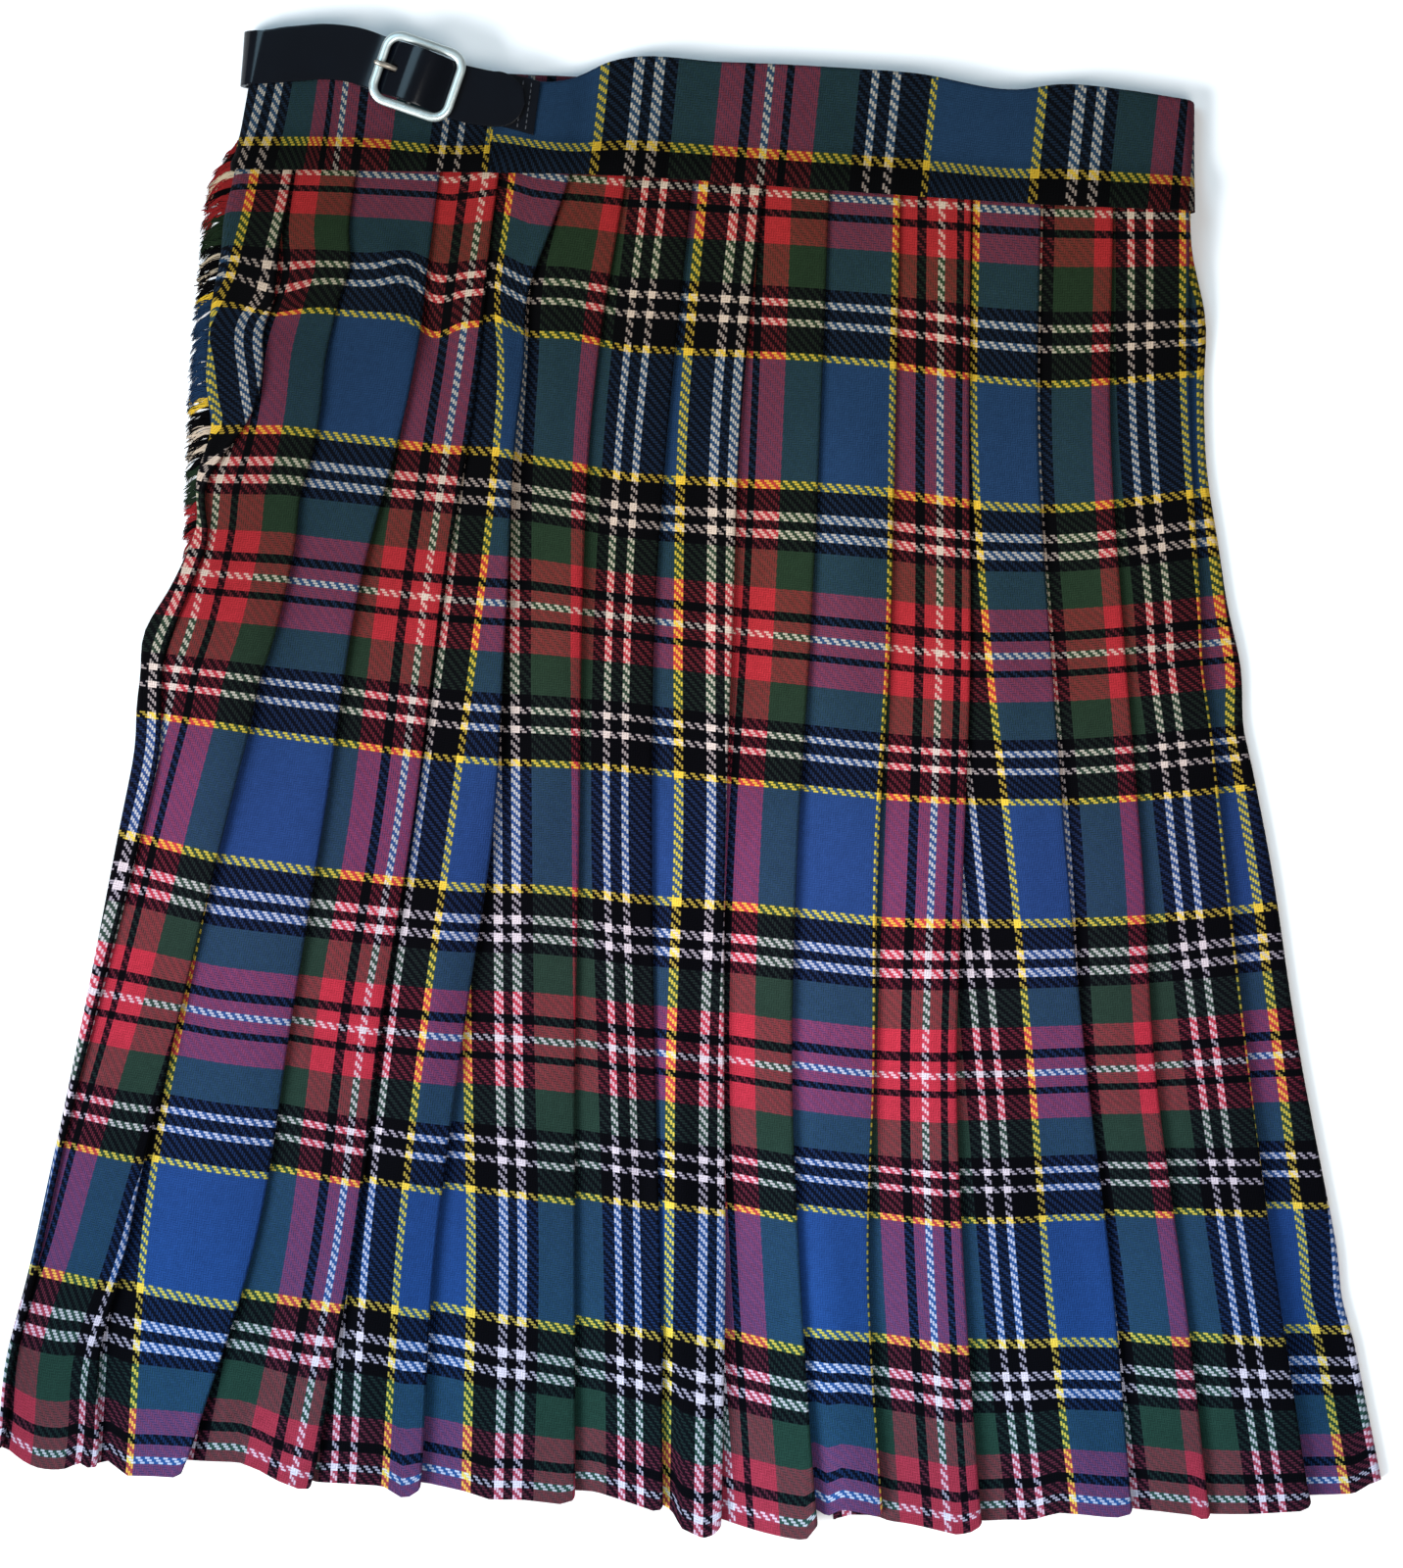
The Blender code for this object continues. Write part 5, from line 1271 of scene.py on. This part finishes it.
# %% The prong
PRONG_LOOP = 1.85
prong_points = [(PRONG_LOOP * math.cos(a), BAR_LEVEL + PRONG_LOOP * math.sin(a))
                for a in np.radians(np.linspace(170.0, 450.0, 22))]
prong_points += [(-1.2, 15.75), (-2.4, 15.6), (-4.4, 15.35), (-6.2, 15.35), (-8.0, 16.05), (-9.5, 16.9),
                 (-11.0, 17.25), (-13.4, 17.35), (-15.2, 17.3), (-15.9, 17.15)]
prong_tip = [(1.0, 0.6), (1.05, 0.65), (1.0, 0.65), (0.9, 0.6), (0.5, 0.35)]
prong_sizes = [(0.9, 0.55)] * (len(prong_points) - len(prong_tip)) + prong_tip
prong_mesh = bmesh.new()
tube_along(prong_mesh, [on_buckle(along, 0.0, height) for along, height in prong_points], prong_sizes, 10)
buckle_prong = metal_object("buckle_prong_cast", prong_mesh)

# %% [markdown]
# Stitches are short fat threads that sink into the leather at both ends. Each is a small sphere,
# stretched, and there are two lines of them near the chape's sewn end.

# %% Stitches on the chape
STITCH_LINES, STITCHES = (37.1, 40.1), 8
STITCH_LONG, STITCH_THICK, STITCH_LEVEL = 1.7, 0.5, 11.85
STITCH_SLANT, STITCH_REACH = 1.7, 8.4
stitch_shape = Matrix.Diagonal((STITCH_LONG, STITCH_THICK, STITCH_THICK * 0.8, 1.0))
stitch_mesh = bmesh.new()
for along in STITCH_LINES:
    first, last = (Vector(on_buckle(along - end * STITCH_SLANT, chape_swing(along) + end * STITCH_REACH,
                                    STITCH_LEVEL)) for end in (-1, 1))
    heading = (last - first).to_track_quat("X", "Z").to_matrix().to_4x4()
    for k in range(STITCHES):
        place = Matrix.Translation(first.lerp(last, (k + 0.5) / STITCHES))
        bmesh.ops.create_uvsphere(stitch_mesh, u_segments=8, v_segments=6, radius=0.5,
                                  matrix=place @ heading @ stitch_shape)
stitches = metal_object("chape_stitches", stitch_mesh)

# %% [markdown]
# A tartan is one list of stripes, used twice: once for the threads that run down the cloth and once
# for those that run across. The list says at which thread of the sett each stripe begins. Two colour
# ramps with hard steps will hold it.

# %% The tartan's stripes
COLOURS = {
    "blue": (28, 54, 93), "yellow": (205, 176, 62), "black": (2, 2, 4), "white": (188, 178, 182),
    "green": (29, 47, 35), "red": (150, 39, 48),
}
STRIPES = ((0, "blue"), (26, "yellow"), (30, "black"), (40, "white"), (44, "black"), (48, "white"),
           (52, "black"), (56, "green"), (74, "red"), (84, "black"), (88, "red"), (92, "white"),
           (96, "red"), (100, "black"), (104, "red"), (114, "green"), (132, "black"), (136, "white"),
           (140, "black"), (144, "white"), (148, "black"), (158, "yellow"), (162, "blue"))


def linear(colour):
    """An everyday 0-255 colour in the linear light that Blender's nodes use."""
    values = [c / 255.0 for c in colour]
    return [v / 12.92 if v <= 0.04045 else ((v + 0.055) / 1.055) ** 2.4 for v in values] + [1.0]


print("stripes in the sett:", len(STRIPES))

# %% [markdown]
# A material is a tree of nodes, and most of this kilt's are plain arithmetic. A small helper class
# writes such a tree in short lines: numbers go into a socket as they are, and another node's output
# is linked to it.

# %% Short ways to add nodes
class Nodes:
    """A new material and short ways to add nodes to it."""

    def __init__(self, name):
        self.material = bpy.data.materials.new(name)
        self.material.use_nodes = True
        self.tree = self.material.node_tree
        self.shader = self.tree.nodes["Principled BSDF"]

    def add(self, kind, fixed=None, **settings):
        """A node, its settings, and numbers that are fixed on its sockets."""
        node = self.tree.nodes.new("ShaderNode" + kind)
        for key, value in settings.items():
            setattr(node, key, value)
        for socket, value in (fixed or {}).items():
            node.inputs[socket].default_value = value
        return node

    def feed(self, node, *values):
        """Fills a node's first sockets and gives its first output."""
        for socket, value in zip(node.inputs, values):
            self.put(socket, value)
        return node.outputs[0]

    def put(self, socket, value):
        if isinstance(value, bpy.types.NodeSocket):
            self.tree.links.new(value, socket)
        else:
            socket.default_value = value

    def math(self, operation, *values):
        return self.feed(self.add("Math", operation=operation), *values)

    def chain(self, operation, values):
        total = values[0]
        for value in values[1:]:
            total = self.math(operation, total, value)
        return total

    def plus(self, *values):
        return self.chain("ADD", values)

    def times(self, *values):
        return self.chain("MULTIPLY", values)

    def minus(self, a, b):
        return self.math("SUBTRACT", a, b)

    def mix(self, share, one, two, blend="MIX"):
        node = self.add("Mix", data_type="RGBA", blend_type=blend)
        for socket, value in ((0, share), (6, one), (7, two)):
            self.put(node.inputs[socket], value)
        return node.outputs[2]

    def green_of(self, colour):
        node = self.add("SeparateColor")
        self.feed(node, colour)
        return node.outputs[1]

    def parts_of(self, vector):
        node = self.add("SeparateXYZ")
        self.feed(node, vector)
        return node.outputs[0], node.outputs[1]

    def vector(self, x, y, z=0.0):
        return self.feed(self.add("CombineXYZ"), x, y, z)

    def place(self):
        return self.add("TexCoord").outputs["Object"]

    def noise(self, vector, scale, detail=2.0, roughness=0.5):
        node = self.add("TexNoise", {"Scale": scale, "Detail": detail, "Roughness": roughness})
        self.put(node.inputs["Vector"], vector)
        return node.outputs["Fac"]

    def ramp(self, at, stops, interpolation):
        node = self.add("ValToRGB")
        node.color_ramp.interpolation = interpolation
        elements = node.color_ramp.elements
        for k, (position, colour) in enumerate(stops):
            stop = elements[k] if k < 2 else elements.new(position)
            stop.position, stop.color = position, colour
        return self.feed(node, at)

    def look(self, **constants):
        """Constants of the shader, with spaces for the underlines in their names."""
        for key, value in constants.items():
            self.shader.inputs[key.replace("_", " ")].default_value = value

    def bump(self, height, strength, distance):
        node = self.add("Bump", {"Strength": strength, "Distance": distance * MM})
        self.put(node.inputs["Height"], height)
        self.put(self.shader.inputs["Normal"], node.outputs[0])


print("ways to add nodes:", sum(name[0] != "_" for name in vars(Nodes)))

# %% [markdown]
# The weave is a 2/2 twill, so each thread goes over two and under two, one step further along in
# every row. Plain arithmetic on the thread numbers tells which of the two shows. Each thread is
# round, and beside its crown the thread below it looks through, most where both are dark.

# %% Threads over and under
STEP, OVER = 4.0, 1.5
THREAD_DRIFT, THREAD_GRAIN, THREAD_NOISE = 0.731, 0.02, 5.0


def stripe_of(n, number):
    """Colour of a thread of the tartan."""
    at = n.math("FRACT", n.math("DIVIDE", n.plus(number, 0.5), SETT))
    return n.ramp(at, [(first / SETT, linear(COLOURS[name])) for first, name in STRIPES], "CONSTANT")


def shade_of(n, number, run, layer=0.0):
    """Every thread is a little lighter or darker than its neighbours."""
    return n.noise(n.vector(n.times(number, THREAD_DRIFT), n.times(run, THREAD_GRAIN), layer), THREAD_NOISE)


def crown(n, thread):
    """0 at a thread's edges and 1 on its crown."""
    return n.math("SINE", n.times(n.math("FRACT", thread), math.pi))


def twill(n, warp, weft):
    """Colour of the woven cloth, the thread on top, its shade and its roundness."""
    warp_no, weft_no = n.math("FLOOR", warp), n.math("FLOOR", weft)
    over = n.math("LESS_THAN", n.math("FLOORED_MODULO", n.minus(warp_no, weft_no), STEP), OVER)
    under = n.minus(1.0, over)
    warp_colour, weft_colour = stripe_of(n, warp_no), stripe_of(n, weft_no)
    shade = n.plus(n.times(over, shade_of(n, warp_no, weft, 3.0)), n.times(under, shade_of(n, weft_no, warp)))
    swell = n.plus(n.times(over, crown(n, warp)), n.times(under, crown(n, weft)))
    above, below = n.mix(over, weft_colour, warp_colour), n.mix(over, warp_colour, weft_colour)
    pale = n.math("MAXIMUM", n.green_of(above), n.green_of(below))
    sunk = n.times(n.minus(0.55, n.times(swell, 0.36)), n.minus(1.0, n.times(pale, 1.08)))
    top = n.feed(n.add("Gamma"), above, n.minus(1.0, sunk))
    colour = n.mix(1.0, top, n.feed(n.add("Gamma"), below, sunk), "MULTIPLY")
    dim = n.math("MINIMUM", n.green_of(above), n.green_of(below))
    dyed = n.math("MINIMUM", n.times(dim, 60.0), 1.0)
    deep = n.math("MAXIMUM", n.minus(1.0, n.times(pale, 4.0)), 0.0)
    return n.mix(n.times(dyed, deep, 0.38), colour, below), above, shade, swell


print("each thread goes over", round(STEP / 2), "and under", round(STEP / 2))

# %% [markdown]
# Light and shade are painted into the wool's colour. A painted light runs down the kilt: it is darker
# and warmer by the waistband and brighter and bluer at the hem, and pale threads take it in another
# way than dark ones. A few soft places are lightened or darkened, as painted light and painted shade.

# %% Painted light down the kilt, and painted light and shade in places
# Painted light from the waistband (0) to the hem (1), as colours to multiply by: dark threads, pale threads,
# fringe.
PAINTED_LIGHT_DOWN = ((0.0, (0.66, 0.58, 0.41, 1.0)), (0.30, (0.87, 0.77, 0.66, 1.0)),
         (0.52, (1.10, 0.91, 1.12, 1.0)), (1.0, (0.64, 1.03, 1.42, 1.0)))
PAINTED_LIGHT_DOWN_PALE = ((0.0, (0.68, 0.58, 0.40, 1.0)), (0.30, (0.88, 0.76, 0.57, 1.0)),
              (0.45, (0.98, 0.88, 0.76, 1.0)), (0.62, (0.95, 0.90, 0.95, 1.0)),
              (1.0, (0.82, 0.94, 1.14, 1.0)))
PAINTED_LIGHT_DOWN_FRINGE = ((0.0, (0.92, 0.82, 0.52, 1.0)), (0.30, (1.08, 0.98, 0.72, 1.0)),
                (0.52, (1.05, 0.97, 0.90, 1.0)), (1.0, (0.84, 0.96, 1.18, 1.0)))
# Painted light (more than 0) or painted shade (less than 0): x, y, reach across, reach along, how much.
PAINTED_LIGHT_PLACES = ((0.034, -0.100, 0.050, 0.220, 0.20), (-0.150, 0.140, 0.075, 0.110, -0.20),
               (0.205, 0.050, 0.045, 0.250, -0.12), (-0.235, -0.200, 0.030, 0.060, -0.20))


def painted_light_and_shade(n, place):
    """1 where nothing is painted, more under painted light and less under painted shade."""
    across, along = n.parts_of(place)
    total = 1.0
    for x, y, wide, tall, much in PAINTED_LIGHT_PLACES:
        a = n.math("DIVIDE", n.minus(across, x), wide)
        b = n.math("DIVIDE", n.minus(along, y), tall)
        near = n.math("EXPONENT", n.times(n.plus(n.times(a, a), n.times(b, b)), -1.0))
        total = n.plus(total, n.times(near, much))
    return total


# Places of painted light and painted shade.
print("painted light places:", len(PAINTED_LIGHT_PLACES))

# %% [markdown]
# Wool is matt with a soft sheen at its edges. Its colour is never even: fibres of other shades are
# spun in, a fine fleece stands on it, and it has slow patches. Each woven thread also gets painted shade
# towards its edges. The fringe has the same colours, but only those of its weft.

# %% The wool of the cloth and of the fringe
def wool(name, woven=True):
    n = Nodes(name)
    uv = n.add("UVMap", uv_map="threads").outputs[0]
    warp, weft = (n.times(part, SETT) for part in n.parts_of(uv))
    place = n.place()
    if woven:
        colour, above, shade, swell = twill(n, warp, weft)
    else:
        number = n.math("FLOOR", weft)
        colour, shade, swell = stripe_of(n, number), shade_of(n, number, warp), 0.7
        above = colour
    fibres = n.noise(place, 2600.0, 2.0, 0.6)
    fleece = n.noise(place, 420.0, 3.0, 0.6)
    patches = n.noise(place, 14.0, 3.0, 0.55)
    # The threads' roundness lightens each crown and darkens the thread's edges: painted shade between the
    # threads. The other terms are the wool's own uneven tone.
    light = n.plus(n.times(shade, 0.5), n.times(fibres, 0.35), n.times(fleece, 0.35),
                   n.times(patches, 0.3), n.times(swell, 0.55) if woven else 0.3)
    # A few places are lightened or darkened: painted light and painted shade.
    brightness = n.times(light, 0.88, painted_light_and_shade(n, place))
    shaded = n.mix(1.0, colour, n.vector(brightness, brightness, brightness), "MULTIPLY")
    # A painted light down the kilt: darker and warmer by the waistband, brighter and bluer at the hem.
    along = n.math("DIVIDE", n.minus(weft, SEAM_WEFT), SKIRT / THREAD_DOWN)
    paleness = n.math("MINIMUM", n.times(n.green_of(above), 2.6), 1.0)
    painted_light_tint = n.mix(paleness, n.ramp(along, PAINTED_LIGHT_DOWN, "EASE"),
                 n.ramp(along, PAINTED_LIGHT_DOWN_PALE if woven else PAINTED_LIGHT_DOWN_FRINGE, "EASE"))
    n.put(n.shader.inputs["Base Color"], n.mix(1.0, shaded, painted_light_tint, "MULTIPLY"))
    n.look(Roughness=0.9, Specular_IOR_Level=0.04, Sheen_Weight=0.01, Sheen_Roughness=0.45)
    n.bump(n.plus(swell, n.times(fibres, 0.6)), 0.35, 0.25)
    return n.material


tartan = wool("tartan_wool")
sheets = (over_apron, under_apron, pleated_back, waistband)
for piece in sheets:
    piece.data.materials.append(tartan)
fringe.data.materials.append(wool("fringe_wool", woven=False))
print("woven wool on", len(sheets), "pieces, loose wool on the fringe")

# %% [markdown]
# Black strap leather is dyed, waxed and slightly creased: fine grain in the bump, soft patches in
# its dye and a thin clear coat for its gloss.

# %% Leather
def leather(name):
    n = Nodes(name)
    place = n.place()
    cells = n.add("TexVoronoi", {"Scale": 1500.0}, feature="DISTANCE_TO_EDGE")
    n.put(cells.inputs["Vector"], place)
    creases = n.noise(place, 260.0, 4.0, 0.65)
    patches = n.noise(place, 60.0, 2.0)
    dye = n.mix(n.times(patches, 0.8), linear((1, 2, 6)), linear((4, 8, 16)))
    n.put(n.shader.inputs["Base Color"], dye)
    n.put(n.shader.inputs["Roughness"], n.plus(n.times(creases, 0.3), 0.45))
    n.look(Specular_IOR_Level=0.03, Coat_Weight=0.35, Coat_Roughness=0.16)
    n.bump(n.plus(cells.outputs["Distance"], n.times(creases, 0.7)), 0.3, 0.06)
    return n.material


black_leather = leather("strap_leather")
for piece in (strap, chape):
    piece.data.materials.append(black_leather)
print("leather on the strap and the chape")

# %% [markdown]
# The buckle is nickel plate, hazy where it has been rubbed, and its prong is duller. The stitches
# are waxed thread with a fine twist.

# %% Nickel and thread
def nickel(name, dark, bright):
    n = Nodes(name)
    place = n.place()
    haze = n.noise(place, 300.0, 3.0)
    n.put(n.shader.inputs["Base Color"], n.mix(haze, linear(dark), linear(bright)))
    n.put(n.shader.inputs["Roughness"], n.plus(n.times(haze, 0.16), 0.28))
    n.look(Metallic=0.75)
    n.bump(n.noise(place, 900.0, 3.0), 0.15, 0.05)
    return n.material


def waxed_thread(name):
    n = Nodes(name)
    twist = n.noise(n.place(), 1800.0, 1.0)
    n.put(n.shader.inputs["Base Color"], n.mix(twist, linear((26, 27, 30)), linear((58, 60, 66))))
    n.look(Roughness=0.6)
    return n.material


buckle_frame.data.materials.append(nickel("buckle_nickel", (172, 182, 179), (198, 206, 203)))
buckle_prong.data.materials.append(nickel("prong_nickel", (126, 118, 106), (160, 150, 138)))
stitches.data.materials.append(waxed_thread("stitch_thread"))
print("nickel on the buckle, waxed thread in the chape")

# %% [markdown]
# Every piece rides on the one body of this part and takes the place of its CAD node, which is hidden.
# The area of each sheet of cloth is printed.

# %% Riding and replacing
for piece, node, finish_slot in (
        (over_apron, "over_apron", "tartan"), (under_apron, "under_apron", "tartan"),
        (pleated_back, "pleated_back", "tartan"), (waistband, "waistband", "tartan"),
        (fringe, "fringe", "tartan"), (strap, "strap", "strap_leather"), (chape, "chape", "strap_leather"),
        (buckle_frame, "buckle_frame", "buckle_metal"), (buckle_prong, "buckle_prong", "buckle_metal")):
    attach(piece, "root")
    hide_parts(node)
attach(stitches, "root")
for piece in sheets:
    print(piece.name, "measures %.4f m2" % sum(face.area for face in piece.data.polygons))

# %% [markdown]
# The floor is a pale, plain surface. Three soft lamps stand round it, as in a small studio. A broad
# one, low on the left, gives each fold a lit edge and a shadow on its right. A weaker one overhead
# opens the shadows on the right. A small cool one beyond the waistband draws the streak of light
# on the strap's hump.

# %% Floor and light
floor_mesh = bmesh.new()
bmesh.ops.create_grid(floor_mesh, x_segments=1, y_segments=1, size=3.0)
floor = as_object("table_top", floor_mesh)
paper = Nodes("pale_paper")
paper.look(Base_Color=(0.9, 0.9, 0.9, 1.0), Roughness=0.9)
floor.data.materials.append(paper.material)


def soft_lamp(name, place, target, size, power, colour=(1.0, 1.0, 1.0)):
    lamp = bpy.data.lights.new(name, "AREA")
    lamp.shape = "RECTANGLE"
    lamp.size, lamp.size_y = size
    lamp.energy = power
    lamp.color = colour
    holder = bpy.data.objects.new(name, lamp)
    holder.location = place
    holder.rotation_euler = (Vector(target) - Vector(place)).to_track_quat("-Z", "Y").to_euler()
    bpy.context.scene.collection.objects.link(holder)
    print(name, "shines with", power, "watts")


soft_lamp("window_lamp", (-2.8, -1.6, 2.3), (0.0, -0.1, 0.0), (1.9, 1.9), 268.0, (0.93, 0.96, 1.0))
soft_lamp("overhead_lamp", (0.3, -0.3, 1.35), (0.05, -0.05, 0.0), (0.7, 0.7), 10.5, (1.0, 0.98, 0.96))
soft_lamp("shine_lamp", (-0.85, 0.95, 1.75), (-0.1, 0.25, 0.0), (0.85, 0.85), 16.0, (0.5, 0.8, 1.0))
world = bpy.data.worlds.new("studio")
world.use_nodes = True
sky = world.node_tree.nodes["Background"]
sky.inputs["Color"].default_value = (0.92, 0.96, 1.0, 1.0)
sky.inputs["Strength"].default_value = 0.22
bpy.context.scene.world = world
bpy.context.scene.view_settings.view_transform = "Standard"
print("the sky's strength is", sky.inputs["Strength"].default_value)

# %% [markdown]
# The camera looks straight down, from far enough away to keep the cloth's outline true. Its lens
# follows from its distance and from how much of the table the picture shows.

# %% Camera
AWAY, SENSOR, VIEW_TALL = 1.9, 36.0, 0.553
VIEW_X, VIEW_Y, CLOTH_TOP = 3.46 * MM, -0.69 * MM, 0.008
camera_data = bpy.data.cameras.new("camera")
camera_data.sensor_fit = "VERTICAL"
camera_data.sensor_height = SENSOR
camera_data.lens = SENSOR * AWAY / VIEW_TALL
camera = bpy.data.objects.new("camera", camera_data)
camera.location = (VIEW_X, VIEW_Y, AWAY + CLOTH_TOP)
bpy.context.scene.collection.objects.link(camera)
bpy.context.scene.camera = camera
print("camera: %.2f m above the kilt, %.0f mm lens" % (AWAY, camera_data.lens))

# %% [markdown]
# The dressed part has to stay the size of its solids.
